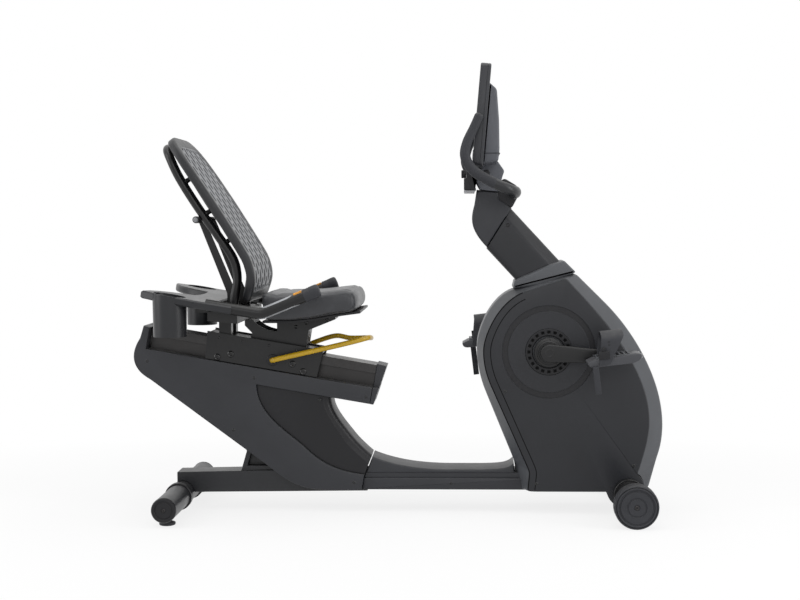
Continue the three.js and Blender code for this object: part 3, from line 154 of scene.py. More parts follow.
def grainGroup():
    # moulded texture: small rounded cells with finer noise on them, and a slow mottle
    group, given, result = newGroup(
        "mouldedGrain",
        [("Vector", "Vector", None), ("Scale", "Float", 900.0), ("Cells", "Float", 0.5)],
        [("Height", "Float"), ("Mottle", "Float")])
    place, scale = given.outputs["Vector"], given.outputs["Scale"]
    cells = addNode(group, "ShaderNodeTexVoronoi", {"Vector": place, "Scale": scale}, feature="SMOOTH_F1")
    fineScale = maths(group, "MULTIPLY", scale, 2.3)
    fine = addNode(group, "ShaderNodeTexNoise", {"Vector": place, "Scale": fineScale, "Detail": 2.0})
    blended = addNode(group, "ShaderNodeMix", {
        0: given.outputs["Cells"], 2: fine.outputs["Fac"], 3: cells.outputs["Distance"]}, data_type="FLOAT")
    slow = addNode(group, "ShaderNodeTexNoise", {"Vector": place, "Scale": 9.0, "Detail": 4.0})
    group.links.new(blended.outputs[0], result.inputs["Height"])
    group.links.new(slow.outputs["Fac"], result.inputs["Mottle"])
    return group


def handlingGroup():
    # smudges from hands and cloths: two noises of different size, multiplied
    group, given, result = newGroup(
        "handlingMarks",
        [("Vector", "Vector", None), ("Scale", "Float", 14.0)],
        [("Mask", "Float")])
    place, scale = given.outputs["Vector"], given.outputs["Scale"]
    wide = addNode(group, "ShaderNodeTexNoise",
                   {"Vector": place, "Scale": scale, "Detail": 5.0, "Distortion": 0.6})
    closeScale = maths(group, "MULTIPLY", scale, 5.5)
    close = addNode(group, "ShaderNodeTexNoise", {"Vector": place, "Scale": closeScale, "Detail": 3.0})
    both = maths(group, "MULTIPLY", ramp(group, wide.outputs["Fac"], 0.38, 0.68),
                 ramp(group, close.outputs["Fac"], 0.3, 0.7))
    group.links.new(both, result.inputs["Mask"])
    return group


def dustGroup():
    # fine dust lies where the surface faces up, broken by noise
    group, given, result = newGroup(
        "settledDust",
        [("Vector", "Vector", None), ("Amount", "Float", 0.1)],
        [("Mask", "Float")])
    facing = addNode(group, "ShaderNodeNewGeometry")
    parts = addNode(group, "ShaderNodeSeparateXYZ", {0: facing.outputs["Normal"]})
    upward = ramp(group, parts.outputs["Z"], 0.35, 1.0)
    speck = addNode(group, "ShaderNodeTexNoise",
                    {"Vector": given.outputs["Vector"], "Scale": 60.0, "Detail": 6.0})
    broken = ramp(group, speck.outputs["Fac"], 0.3, 0.75, 0.35, 1.0)
    mask = maths(group, "MULTIPLY", maths(group, "MULTIPLY", upward, broken), given.outputs["Amount"])
    group.links.new(mask, result.inputs["Mask"])
    return group


def wearGroup():
    # edges rub lighter: the pointed places of the mesh, broken by noise
    group, given, result = newGroup(
        "edgeWear",
        [("Vector", "Vector", None), ("Amount", "Float", 0.3)],
        [("Mask", "Float")])
    shape = addNode(group, "ShaderNodeNewGeometry")
    edge = ramp(group, shape.outputs["Pointiness"], 0.53, 0.6)
    chips = addNode(group, "ShaderNodeTexNoise",
                    {"Vector": given.outputs["Vector"], "Scale": 120.0, "Detail": 4.0})
    broken = ramp(group, chips.outputs["Fac"], 0.35, 0.65, 0.3, 1.0)
    mask = maths(group, "MULTIPLY", maths(group, "MULTIPLY", edge, broken), given.outputs["Amount"])
    group.links.new(mask, result.inputs["Mask"])
    return group


def brushGroup():
    # drawn or brushed metal: noise stretched a long way along X
    group, given, result = newGroup(
        "brushedStreaks",
        [("Vector", "Vector", None), ("Scale", "Float", 900.0)],
        [("Streak", "Float")])
    stretched = addNode(group, "ShaderNodeMapping",
                        {"Vector": given.outputs["Vector"], "Scale": (0.02, 1, 1)})
    noise = addNode(group, "ShaderNodeTexNoise", {
        "Vector": stretched.outputs[0], "Scale": given.outputs["Scale"], "Detail": 3.0})
    group.links.new(noise.outputs["Fac"], result.inputs["Streak"])
    return group


groups = {
    "grain": grainGroup(), "handling": handlingGroup(), "dust": dustGroup(),
    "wear": wearGroup(), "brush": brushGroup(),
}

# finishes: colour is 0-255, grain is (cells per metre, share of cells, bump strength)
finishes = {
    "framePaint": {"colour": (31, 32, 35), "rough": 0.38, "shine": 0.4, "grain": (1400, 0.2, 0.10),
                   "dust": 0.10, "wear": 0.25},
    "blackPaint": {"colour": (11, 11, 13), "rough": 0.34, "shine": 0.4, "grain": (1300, 0.2, 0.10),
                   "dust": 0.08, "wear": 0.2},
    "shell": {"colour": (45, 46, 50), "rough": 0.45, "shine": 0.35, "grain": (1100, 0.6, 0.16), "dust": 0.10,
              "wear": 0.2},
    # shellPaintedHighlight: the shell's colour made lighter, a painted highlight for the light on the
    # shroud's chamfered rims and on the mast collar
    "shellPaintedHighlight": {"colour": (74, 76, 80), "rough": 0.40, "shine": 0.4, "grain": (1100, 0.6, 0.12),
                 "dust": 0.10, "wear": 0.2},
    "blackPlastic": {"colour": (25, 25, 28), "rough": 0.42, "shine": 0.3, "grain": (900, 0.7, 0.18),
                     "dust": 0.07, "wear": 0.2},
    "glossBlack": {"colour": (14, 14, 16), "rough": 0.16, "shine": 0.45, "grain": (700, 0.2, 0.03),
                   "dust": 0.05, "wear": 0.1},
    # deepBlack: near-black, for the seam lines and for the painted shade in the vent holes and the backrest
    # slots
    "deepBlack": {"colour": (7, 7, 8), "rough": 0.6, "shine": 0.1, "grain": (900, 0.5, 0.1), "dust": 0.0,
                  "wear": 0.0},
    "tray": {"colour": (34, 35, 38), "rough": 0.34, "shine": 0.35, "grain": (1000, 0.4, 0.06), "dust": 0.06,
             "wear": 0.15},
    "backPanel": {"colour": (100, 102, 106), "rough": 0.38, "shine": 0.4, "grain": (1000, 0.5, 0.10),
                  "dust": 0.06, "wear": 0.25},
    "backRim": {"colour": (32, 33, 36), "rough": 0.42, "shine": 0.4, "grain": (1000, 0.5, 0.12),
                "dust": 0.08, "wear": 0.2},
    "rubber": {"colour": (52, 53, 57), "rough": 0.62, "shine": 0.25, "grain": (1200, 0.8, 0.28),
               "dust": 0.14, "wear": 0.1},
    "aluminium": {"colour": (62, 61, 61), "rough": 0.36, "metal": 0.9, "shine": 0.5, "brush": 0.10,
                  "dust": 0.05, "wear": 0.2},
    "darkMetal": {"colour": (58, 56, 56), "rough": 0.42, "metal": 0.6, "shine": 0.4, "brush": 0.10,
                  "dust": 0.05, "wear": 0.2},
    "steel": {"colour": (168, 170, 174), "rough": 0.28, "metal": 1.0, "shine": 0.5, "brush": 0.06,
              "dust": 0.03, "wear": 0.1},
    "iron": {"colour": (70, 70, 72), "rough": 0.55, "metal": 0.8, "shine": 0.4, "grain": (600, 0.5, 0.3),
             "dust": 0.05, "wear": 0.3},
    "yellowPaint": {"colour": (184, 148, 12), "rough": 0.34, "shine": 0.5, "grain": (1200, 0.2, 0.08),
                    "dust": 0.03, "wear": 0.15},
    "yellowPlastic": {"colour": (228, 158, 56), "rough": 0.35, "shine": 0.5, "grain": (900, 0.4, 0.08),
                      "dust": 0.03, "wear": 0.1},
    "screen": {"colour": (6, 7, 8), "rough": 0.06, "shine": 0.5, "grain": (400, 0.1, 0.0), "dust": 0.03,
               "wear": 0.0},
    # shroudFacePaintedShade: the shell's colour made darker for the shroud's flat side panels, painted shade
    # for the less light they get
    "shroudFacePaintedShade": {"colour": (33, 34, 38), "rough": 0.45, "shine": 0.35, "grain": (1100, 0.6, 0.16),
                   "dust": 0.08, "wear": 0.2},
    # pulsePlatePaintedReflection: pale and nearly without metal, so the steel plates carry a painted
    # reflection of the white surroundings in their colour
    "pulsePlatePaintedReflection": {"colour": (172, 174, 178), "rough": 0.3, "metal": 0.2, "shine": 0.5, "brush": 0.05,
                   "dust": 0.02, "wear": 0.1},
    "mastPaint": {"colour": (28, 29, 33), "rough": 0.45, "shine": 0.35, "grain": (1100, 0.6, 0.16),
                  "dust": 0.08, "wear": 0.2},
    "housing": {"colour": (86, 88, 94), "rough": 0.45, "shine": 0.35, "grain": (1000, 0.6, 0.14),
                "dust": 0.08, "wear": 0.2},
    "pedalPlastic": {"colour": (66, 67, 71), "rough": 0.45, "shine": 0.35, "grain": (900, 0.7, 0.18),
                     "dust": 0.10, "wear": 0.3},
    "paleGrey": {"colour": (150, 151, 154), "rough": 0.4, "shine": 0.4, "grain": (900, 0.4, 0.06),
                 "dust": 0.05, "wear": 0.1},
    "keys": {"colour": (74, 76, 80), "rough": 0.4, "shine": 0.4, "grain": (900, 0.5, 0.1), "dust": 0.04,
             "wear": 0.1},
}
dustColour = (0.30, 0.29, 0.27, 1)


def linear(colour):
    share = np.array(colour, float) / 255
    low = share / 12.92
    high = ((share + 0.055) / 1.055) ** 2.4
    return (*np.where(share < 0.04045, low, high).tolist(), 1.0)


def makeFinish(name):
    # grain, smudges, dust and rubbed edges over one colour, with the values of the finish's own row
    values = finishes[name]
    finish = bpy.data.materials.new(name)
    finish.use_nodes = True
    tree = finish.node_tree
    surface = tree.nodes["Principled BSDF"]
    place = addNode(tree, "ShaderNodeTexCoord").outputs["Object"]
    base = linear(values["colour"])
    lighter = tuple(min(1.0, c * 1.9 + 0.02) for c in base[:3]) + (1.0,)
    rough = values["rough"]
    surface.inputs["Metallic"].default_value = values.get("metal", 0.0)
    surface.inputs["Specular IOR Level"].default_value = values["shine"]
    grainScale, cellShare, bump = values.get("grain", (1000, 0.3, 0.05))
    grain = addNode(tree, "ShaderNodeGroup", node_tree=groups["grain"])
    tree.links.new(place, grain.inputs["Vector"])
    grain.inputs["Scale"].default_value = grainScale
    grain.inputs["Cells"].default_value = cellShare
    marks = addNode(tree, "ShaderNodeGroup", node_tree=groups["handling"])
    tree.links.new(place, marks.inputs["Vector"])
    dust = addNode(tree, "ShaderNodeGroup", node_tree=groups["dust"])
    tree.links.new(place, dust.inputs["Vector"])
    dust.inputs["Amount"].default_value = values["dust"]
    wear = addNode(tree, "ShaderNodeGroup", node_tree=groups["wear"])
    tree.links.new(place, wear.inputs["Vector"])
    wear.inputs["Amount"].default_value = values["wear"]
    darker = tuple(c * 0.86 for c in base[:3]) + (1.0,)
    mottled = mixColour(tree, ramp(tree, grain.outputs["Mottle"], 0.35, 0.65), base, darker)
    rubbed = mixColour(tree, wear.outputs["Mask"], mottled, lighter)
    dusty = mixColour(tree, dust.outputs["Mask"], rubbed, dustColour)
    tree.links.new(dusty, surface.inputs["Base Color"])
    polished = ramp(tree, marks.outputs["Mask"], 0.0, 1.0, rough, max(0.03, rough - 0.09))
    dulled = maths(tree, "ADD", polished, maths(tree, "MULTIPLY", dust.outputs["Mask"], 0.6))
    height = grain.outputs["Height"]
    if "brush" in values:
        bump = values["brush"]
        streaks = addNode(tree, "ShaderNodeGroup", node_tree=groups["brush"])
        tree.links.new(place, streaks.inputs["Vector"])
        height = streaks.outputs["Streak"]
        dulled = maths(tree, "ADD", dulled, ramp(tree, height, 0.3, 0.7, -0.05, 0.06))
    tree.links.new(dulled, surface.inputs["Roughness"])
    if bump:
        relief = addNode(tree, "ShaderNodeBump", {"Height": height, "Strength": bump, "Distance": 0.0006})
        tree.links.new(relief.outputs["Normal"], surface.inputs["Normal"])
    return finish


paint = {name: makeFinish(name) for name in finishes}


def vinylFinish():
    # seat vinyl: pebbled cells with soft creases, a faint sheen along the bends
    values = {"colour": (47, 48, 51), "rough": 0.40, "pebble": 420.0, "crease": 26.0}
    finish = bpy.data.materials.new("seatVinyl")
    finish.use_nodes = True
    tree = finish.node_tree
    surface = tree.nodes["Principled BSDF"]
    surface.inputs["Specular IOR Level"].default_value = 0.4
    surface.inputs["Sheen Weight"].default_value = 0.04
    place = addNode(tree, "ShaderNodeTexCoord").outputs["Object"]
    grain = addNode(tree, "ShaderNodeGroup", node_tree=groups["grain"])
    tree.links.new(place, grain.inputs["Vector"])
    grain.inputs["Scale"].default_value = values["pebble"]
    grain.inputs["Cells"].default_value = 0.85
    crease = addNode(tree, "ShaderNodeTexNoise", {
        "Vector": place, "Scale": values["crease"], "Detail": 3.0, "Distortion": 1.2})
    marks = addNode(tree, "ShaderNodeGroup", node_tree=groups["handling"])
    tree.links.new(place, marks.inputs["Vector"])
    base = linear(values["colour"])
    lighter = tuple(c * 1.5 for c in base[:3]) + (1.0,)
    tree.links.new(mixColour(tree, marks.outputs["Mask"], base, lighter), surface.inputs["Base Color"])
    rough = ramp(tree, marks.outputs["Mask"], 0.0, 1.0, values["rough"], values["rough"] - 0.1)
    tree.links.new(rough, surface.inputs["Roughness"])
    soft = addNode(tree, "ShaderNodeBump", {"Height": crease.outputs["Fac"], "Strength": 0.25,
                                            "Distance": 0.004})
    fine = addNode(tree, "ShaderNodeBump", {
        "Height": grain.outputs["Height"], "Strength": 0.35, "Distance": 0.0006,
        "Normal": soft.outputs["Normal"]})
    tree.links.new(fine.outputs["Normal"], surface.inputs["Normal"])
    return finish


paint["vinyl"] = vinylFinish()
print("finishes made:", len(paint))


# floor and background
def makeStudio():
    world = bpy.data.worlds.new("studio")
    scene.world = world
    world.use_nodes = True
    tree = world.node_tree
    tree.nodes.clear()
    path = addNode(tree, "ShaderNodeLightPath")
    seen = maths(tree, "MAXIMUM", path.outputs["Is Camera Ray"], path.outputs["Is Transmission Ray"])
    seen = maths(tree, "MAXIMUM", seen, path.outputs["Is Glossy Ray"])
    strength = ramp(tree, seen, 0.0, 1.0, studio["ambient"], 1.0)
    light = addNode(tree, "ShaderNodeBackground", {"Color": (1, 1, 1, 1), "Strength": strength})
    result = addNode(tree, "ShaderNodeOutputWorld")
    tree.links.new(light.outputs[0], result.inputs["Surface"])

    finish = bpy.data.materials.new("paleFloor")
    finish.use_nodes = True
    tree = finish.node_tree
    tree.nodes.clear()
    place = addNode(tree, "ShaderNodeTexCoord").outputs["Object"]
    flat = addNode(tree, "ShaderNodeVectorMath", {0: place, 1: (0.82, 1.25, 1)}, operation="MULTIPLY")
    reach = addNode(tree, "ShaderNodeVectorMath", {0: flat.outputs[0]}, operation="LENGTH")
    fade = ramp(tree, reach.outputs["Value"], studio["fadeStart"], studio["fadeEnd"], studio["nearWhite"],
                1.0)
    path = addNode(tree, "ShaderNodeLightPath")
    seen = maths(tree, "MAXIMUM", path.outputs["Is Camera Ray"], path.outputs["Is Transmission Ray"])
    seen = maths(tree, "MAXIMUM", seen, path.outputs["Is Glossy Ray"])
    white = studio["floorWhite"]
    matt = addNode(tree, "ShaderNodeBsdfDiffuse", {"Color": (white, white, white, 1)})
    plain = addNode(tree, "ShaderNodeEmission", {"Color": (1, 1, 1, 1), "Strength": 1.0})
    blend = addNode(tree, "ShaderNodeMixShader", {
        0: maths(tree, "MULTIPLY", fade, seen), 1: matt.outputs[0], 2: plain.outputs[0]})
    result = addNode(tree, "ShaderNodeOutputMaterial")
    tree.links.new(blend.outputs[0], result.inputs["Surface"])
    mesh = bpy.data.meshes.new("floor")
    size = 30
    mesh.from_pydata([(-size, -size, 0), (size, -size, 0), (size, size, 0), (-size, size, 0)], [],
                     [(0, 1, 2, 3)])
    floor = bpy.data.objects.new("floor", mesh)
    mesh.materials.append(finish)
    scene.collection.objects.link(floor)


makeStudio()


# shaping tools
def unit(rows):
    return rows / np.maximum(np.linalg.norm(rows, axis=-1, keepdims=True), 1e-9)


def quadratic(start, handle, end, t):
    return (1 - t) ** 2 * start + 2 * t * (1 - t) * handle + t * t * end


def cubic(here, first, second, end, t):
    # a curve between two ends, drawn towards its two handles
    return (1 - t) ** 3 * here + 3 * (1 - t) ** 2 * t * first + 3 * (1 - t) * t * t * second + t ** 3 * end


def ring(start, *steps, count=14):
    # an outline as points: a step is a straight run to (x, z), or a curve given by two handles and its end
    rows = [np.array([start], float)]
    for step in steps:
        here = rows[-1][-1]
        if len(step) == 2:
            rows.append(np.array([step], float))
            continue
        first, second, end = np.array(step, float).reshape(3, 2)
        t = np.linspace(0, 1, count + 1)[1:, None]
        rows.append(cubic(here, first, second, end, t))
    points = np.vstack(rows)
    return points[np.linalg.norm(points - np.roll(points, 1, 0), axis=1) > 0.05]


def rounded(points, radius, steps=4):
    # every corner becomes a short curve whose ends lie a radius from it, or 0.45 of an edge if that is less
    points = np.array(points, float)
    before, after = np.roll(points, 1, 0) - points, np.roll(points, -1, 0) - points
    shorten = lambda edge: unit(edge) * np.minimum(radius, 0.45 * np.linalg.norm(edge, axis=1))[:, None]
    start, end = points + shorten(before), points + shorten(after)
    t = np.linspace(0, 1, steps)[None, :, None]
    curve = quadratic(start[:, None], points[:, None], end[:, None], t)
    return curve.reshape(-1, points.shape[1])


def inset(points, distance):
    # each point moves inwards along the mean of its two edges' normals
    before, after = np.roll(points, 1, 0), np.roll(points, -1, 0)
    turn = np.sign(np.sum(points[:, 0] * after[:, 1] - after[:, 0] * points[:, 1]))
    a, b = unit(points - before), unit(after - points)
    normal = unit(np.stack([-a[:, 1] - b[:, 1], a[:, 0] + b[:, 0]], 1)) * turn
    across = np.maximum(turn * (normal[:, 1] * a[:, 0] - normal[:, 0] * a[:, 1]), 0.35)
    return points + normal * (distance / across)[:, None]


def gridFaces(rows, columns, loop=False):
    # quads between neighbouring rows, each row closed; with loop the last row also meets the first
    r = np.arange(rows if loop else rows - 1)[:, None]
    c = np.arange(columns)[None, :]
    beside, below = (c + 1) % columns, (r + 1) % rows
    corners = [r * columns + c, r * columns + beside, below * columns + beside, below * columns + c]
    return np.stack(corners, -1).reshape(-1, 4)


def skin(rows, loop=False, caps=True):
    # closed rows of points, one after another, joined by quads; flat caps close the two ends
    rows = np.asarray(rows, float)
    count, across = rows.shape[:2]
    faces = gridFaces(count, across, loop).tolist()
    if caps and not loop:
        faces += [list(range(across))[::-1], list(range((count - 1) * across, count * across))]
    return rows.reshape(-1, 3), faces


def plate(points, low, high, edge=1.5, steps=3, taper=0.0):
    # a side outline (x, z) carried from one y to another; its rims turn in by a quarter of a circle
    a = np.linspace(0, math.pi / 2, steps + 1)
    turnIn, rise = edge * (1 - np.sin(a)), edge * (1 - np.cos(a))
    depths = np.concatenate([turnIn, turnIn[::-1]])
    ys = np.concatenate([low + rise, high - rise[::-1]])
    depths = depths + np.where(ys < (low + high) / 2, taper, 0)
    rows = [np.insert(inset(points, d), 1, y, axis=1) for d, y in zip(depths, ys)]
    return skin(rows)


def turned(profile, centre=(0, 0, 0), axis="y", sides=48, loop=False):
    # each (radius, height) of the profile swings round the axis; it is closed where the radius is nought
    profile = np.array(profile, float)
    angle = np.linspace(0, 2 * math.pi, sides, endpoint=False)
    c = profile[:, :1] * np.cos(angle)
    s = profile[:, :1] * np.sin(angle)
    h = profile[:, 1:] + 0 * c
    rows = np.stack({"y": (c, h, s), "x": (h, c, s), "z": (c, s, h)}[axis], -1) + np.array(centre, float)
    return skin(rows, loop=loop, caps=False)


def turnedAlong(profile, start, direction, sides=32, loop=False):
    # the same, round a line that leaves a point in any direction
    points, faces = turned(profile, sides=sides, axis="z", loop=loop)
    turn = np.array(Vector((0, 0, 1)).rotation_difference(Vector(direction).normalized()).to_matrix())
    return points @ turn.T + np.array(start, float), faces


def through(points, tension=0.5, fine=24):
    # a smooth curve through the points: cubic pieces whose slopes follow the neighbours
    p = np.array(points, float)
    p = np.vstack([2 * p[0] - p[1], p, 2 * p[-1] - p[-2]])
    t = np.linspace(0, 1, fine, endpoint=False)[None, :, None]
    a, b, c, d = (p[i:len(p) - 3 + i][:, None] for i in range(4))
    leave, arrive = tension * (c - a), tension * (d - b)
    curve = ((2 * t ** 3 - 3 * t ** 2 + 1) * b + (t ** 3 - 2 * t ** 2 + t) * leave
             + (3 * t ** 2 - 2 * t ** 3) * c + (t ** 3 - t ** 2) * arrive)
    return np.vstack([curve.reshape(-1, p.shape[1]), p[-2]])


def alongCurve(curve, distances):
    steps = np.linalg.norm(np.diff(curve, axis=0), axis=1)
    length = np.concatenate([[0], np.cumsum(steps)])
    return np.stack([np.interp(distances, length, curve[:, k]) for k in range(curve.shape[1])], 1)


def curveLength(curve):
    return float(np.linalg.norm(np.diff(curve, axis=0), axis=1).sum())


def carriedFrames(path):
    # directions square to the path at each station, carried from one to the next without twist
    tangent = unit(np.gradient(path, axis=0))
    side = np.zeros_like(path)
    away = np.eye(3)[np.argmin(np.abs(tangent[0]))]
    side[0] = unit(np.cross(tangent[0], away))
    for i in range(1, len(path)):
        side[i] = unit(side[i - 1] - tangent[i] * np.dot(side[i - 1], tangent[i]))
    return tangent, side, np.cross(tangent, side)


def tube(curve, radius, sides=20, count=60, tip=0.0):
    # a ring of the radius at each station of a curve; a tip rounds both ends over that length
    length = curveLength(curve)
    a = np.linspace(0, math.pi / 2, 6) if tip else np.array([0.0, 0.0])
    near = tip * (1 - np.cos(a)) if tip else np.array([0.0])
    grow = np.maximum(np.sin(a), 0.02) if tip else np.array([1.0])
    middle = np.linspace(tip, length - tip, count)[1:-1]
    stations = np.concatenate([near, middle, length - near[::-1]])
    size = radius if np.isscalar(radius) else np.interp(stations / length, *radius)
    radii = size * np.concatenate([grow, np.ones(len(middle)), grow[::-1]])
    path = alongCurve(curve, stations)
    _, side, up = carriedFrames(path)
    angle = np.linspace(0, 2 * math.pi, sides, endpoint=False)[None, :, None]
    rows = path[:, None] + radii[:, None, None] * (np.cos(angle) * side[:, None] + np.sin(angle) * up[:,
            None])
    return skin(rows)


def mirrored(shell):
    points, faces = shell
    return points * (1, -1, 1), faces


def asItIs(shell):
    return shell


bothSides = (("right", asItIs), ("left", mirrored))


def both(shell):
    return [shell, mirrored(shell)]


def block(x0, x1, y0, y1, z0, z1, edge=0.8):
    # a block whose side outline has small round corners and whose two faces turn in
    corners = rounded([(x0, z0), (x1, z0), (x1, z1), (x0, z1)], edge, 3)
    return plate(corners, y0, y1, edge * 0.8, 2)


def dress(mesh, sharp):
    work = bmesh.new()
    work.from_mesh(mesh)
    bmesh.ops.remove_doubles(work, verts=work.verts, dist=2e-6)
    bmesh.ops.recalc_face_normals(work, faces=work.faces)
    work.to_mesh(mesh)
    work.free()
    mesh.shade_smooth()
    mesh.set_sharp_from_angle(angle=math.radians(sharp))


def meshOf(name, shells, sharp=32):
    if isinstance(shells, tuple):
        shells = [shells]
    points, faces, start = [], [], 0
    for rows, own in shells:
        points.append(rows)
        faces += [[i + start for i in face] for face in own]
        start += len(rows)
    mesh = bpy.data.meshes.new(name)
    mesh.from_pydata((np.vstack(points) * mm).tolist(), [], faces)
    dress(mesh, sharp)
    return mesh


def settle(thing):
    # what the modifiers give becomes the piece's own mesh
    bpy.context.view_layer.update()
    made = bpy.data.meshes.new_from_object(thing.evaluated_get(bpy.context.evaluated_depsgraph_get()))
    thing.modifiers.clear()
    thing.data = made


def piece(name, shells, finish, body, stands=(), sharp=32, cutters=()):
    thing = bpy.data.objects.new(name, meshOf(name, shells, sharp))
    scene.collection.objects.link(thing)
    for shell in cutters:
        knife = bpy.data.objects.new("knife", meshOf("knife", shell))
        scene.collection.objects.link(knife)
        cut = thing.modifiers.new("cut", "BOOLEAN")
        cut.object = knife
        cut.solver = "EXACT"
        settle(thing)
        bpy.data.objects.remove(knife)
        dress(thing.data, sharp)
    thing.data.materials.clear()
    thing.data.materials.append(paint[finish])
    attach(thing, body)
    if stands:
        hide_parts(*stands)
    return thing


def keep(name, finish):
    # a node that is out of sight keeps its mesh and takes the finish
    thing = nodes[name]
    if not thing.data.materials:
        thing.data.materials.append(paint[finish])
    for holder in thing.material_slots:
        holder.material = paint[finish]


def refine(name, finish, bevel=1.0, steps=2, sharp=30):
    # a node's own shape with its doubles merged, flat faces joined and edges softened
    source = nodes[name]
    work = bmesh.new()
    work.from_mesh(source.data)
    bmesh.ops.remove_doubles(work, verts=work.verts, dist=2e-6)
    bmesh.ops.dissolve_limit(work, angle_limit=math.radians(0.6), verts=work.verts, edges=work.edges)
    bare = bpy.data.meshes.new(name + "_fine")
    work.to_mesh(bare)
    work.free()
    for attribute in list(bare.attributes):
        if attribute.name == "custom_normal":
            bare.attributes.remove(attribute)
    bare.shade_smooth()
    bare.set_sharp_from_angle(angle=math.radians(sharp))
    thing = bpy.data.objects.new(name + "_fine", bare)
    scene.collection.objects.link(thing)
    bare.materials.clear()
    bare.materials.append(paint[finish])
    if bevel:
        soften = thing.modifiers.new("bevel", "BEVEL")
        soften.width = bevel * mm
        soften.segments = steps
        soften.limit_method = "ANGLE"
        soften.angle_limit = math.radians(sharp)
        soften.harden_normals = True
    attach(thing, source["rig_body"])
    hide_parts(name)
    return thing


rail = {"x": -394, "z": 488, "slope": math.radians(9.8)}


def onRail(points):
    # (u, y, w) of the sloping rail's own frame as (x, y, z)
    points = np.atleast_2d(np.array(points, float))
    u, w = points[:, 0], points[:, -1]
    c, s = math.cos(rail["slope"]), math.sin(rail["slope"])
    x, z = rail["x"] + u * c + w * s, rail["z"] - u * s + w * c
    return np.stack([x, z] if points.shape[1] == 2 else [x, points[:, 1], z], 1)


def railPoint(u, w):
    return tuple(onRail([(u, w)])[0])


def fastener(x, y, z, radius, proud=2.0, side=-1):
    # a low button head with a socket in it, on the axis along y
    socket = radius * 0.42
    profile = [(0, -1.2), (socket, -1.2), (socket, proud * 0.75), (radius * 0.62, proud),
               (radius * 0.88, proud * 0.72),
               (radius, proud * 0.2), (radius, -1.5), (0, -1.5)]
    points, faces = turned(profile, sides=12)
    return points * (1, side, 1) + np.array([x, y, z], float), faces


print("tools ready")

# floor contact: stabilisers, caps, feet and wheels
rearBar = {"x": -641, "z": 50, "radius": 35, "half": 294.7, "capFace": 303, "sleeveRadius": 40,
           "sleeveY": 90}


def makeRearBar():
    v = rearBar
    x, z, r, half = v["x"], v["z"], v["radius"], v["half"]
    bar = turned([(r, -half), (r, half), (r - 3, half), (r - 3, -half)], (x, 0, z), sides=72, loop=True)
    piece("rear_stabiliser_tube", bar, "framePaint", "frame", ("rear_stabiliser",))
    inner, outer, low, high = r - 1, v["sleeveRadius"], v["sleeveY"] - 12, v["sleeveY"] + 12
    sleeve = turned([(inner, low), (outer - 1.5, low), (outer, low + 1.5), (outer, high - 1.5),
                     (outer - 1.5, high), (inner, high)], (x, 0, z), sides=72, loop=True)
    piece("stabiliser_sleeves", both(sleeve), "blackPlastic", "frame")
    face = v["capFace"]
    cap = turned([(0, 3.5 - face), (6, 3.5 - face), (6.6, 1.6 - face), (22, 1.4 - face), (23, 2.4 - face),
                  (25, 2.4 - face), (26, 1.2 - face), (30.5, -face), (33.5, 0.8 - face), (35.5, 4.2 - face),
                  (35.5, 8 - face), (0, 8 - face)], (x, 0, z), sides=72)
    for word, shell in (("right", cap), ("left", mirrored(cap))):
        name = "stabiliser_cap_" + word
        piece(name + "_shell", shell, "blackPlastic", "frame", (name,))
    screw = fastener(x, 2.4 - face, z, 5.2, 1.4)
    piece("stabiliser_cap_screws", both(screw), "darkMetal", "frame")


def makeFeet():
    profile = [(0, 0), (19, 0), (22, 1.2), (23, 3.4), (23, 7), (21.5, 8.6), (14, 10.6), (11.5, 12.4),
               (11.5, 17),
               (10.4, 18.4), (6, 18.6), (6, 42), (0, 42)]
    foot = turned(profile, (rearBar["x"], -250, 0), axis="z", sides=48)
    for word, shell in (("right", foot), ("left", mirrored(foot))):
        piece("foot_" + word + "_pad", shell, "rubber", word + "_foot", ("levelling_foot_" + word,))


frontBar = {"x": 668, "z": 61.5, "radius": 40, "end": 249, "axle": 9, "axleEnd": 290, "collarLow": 97,
            "collarHigh": 117}


def makeFrontBar():
    v = frontBar
    half = [(4, v["axleEnd"]), (v["axle"], v["axleEnd"]), (v["axle"], v["end"]), (v["radius"] - 2, v["end"]),
            (v["radius"], v["end"] - 2), (v["radius"], v["collarHigh"]),
            (v["radius"] + 3.5, v["collarHigh"]),
            (v["radius"] + 5, v["collarHigh"] - 1.5), (v["radius"] + 5, v["collarLow"] + 1.5),
            (v["radius"] + 3.5, v["collarLow"]), (v["radius"], v["collarLow"])]
    flipped = [(r, -y) for r, y in half[::-1]]
    inside = [(4, 246), (37, 245), (37, -245), (4, -246)]
    bar = turned(half + flipped + inside[::-1], (v["x"], 0, v["z"]), sides=72, loop=True)
    piece("front_stabiliser_tube", bar, "blackPaint", "frame", ("front_stabiliser",))
    profile = [(0, 3), (8, 3), (9, 1.4), (23, 1.2), (24, 2.8), (27, 2.8), (28, 1.2), (44, 1), (45, 3.4),
               (49, 3.4),
               (50, 0.8), (53.2, 0), (54.4, 1), (54.8, 4.6), (56.6, 4.6), (57.2, 1.4), (59.4, 2.6), (61, 5),
               (61.5, 8), (61.5, 20), (60.9, 21), (60.9, 27), (61.5, 28), (61.5, 41), (60.4, 45.6),
               (57, 47.8),
               (46, 48), (44, 45), (14, 45), (12, 46), (12, 12), (0, 12)]
    wheel = turned([(r, h - 300) for r, h in profile], (v["x"], 0, v["z"]), sides=96)
    screw = fastener(v["x"], -297.6, v["z"], 6.2, 1.8)
    for word, turn in bothSides:
        piece("wheel_" + word + "_tyre", turn(wheel), "rubber", word + "_wheel", ("wheel_" + word,))
        piece("wheel_" + word + "_screw", turn(screw), "darkMetal", word + "_wheel")


makeRearBar()
makeFeet()
makeFrontBar()
print("floor contact made")

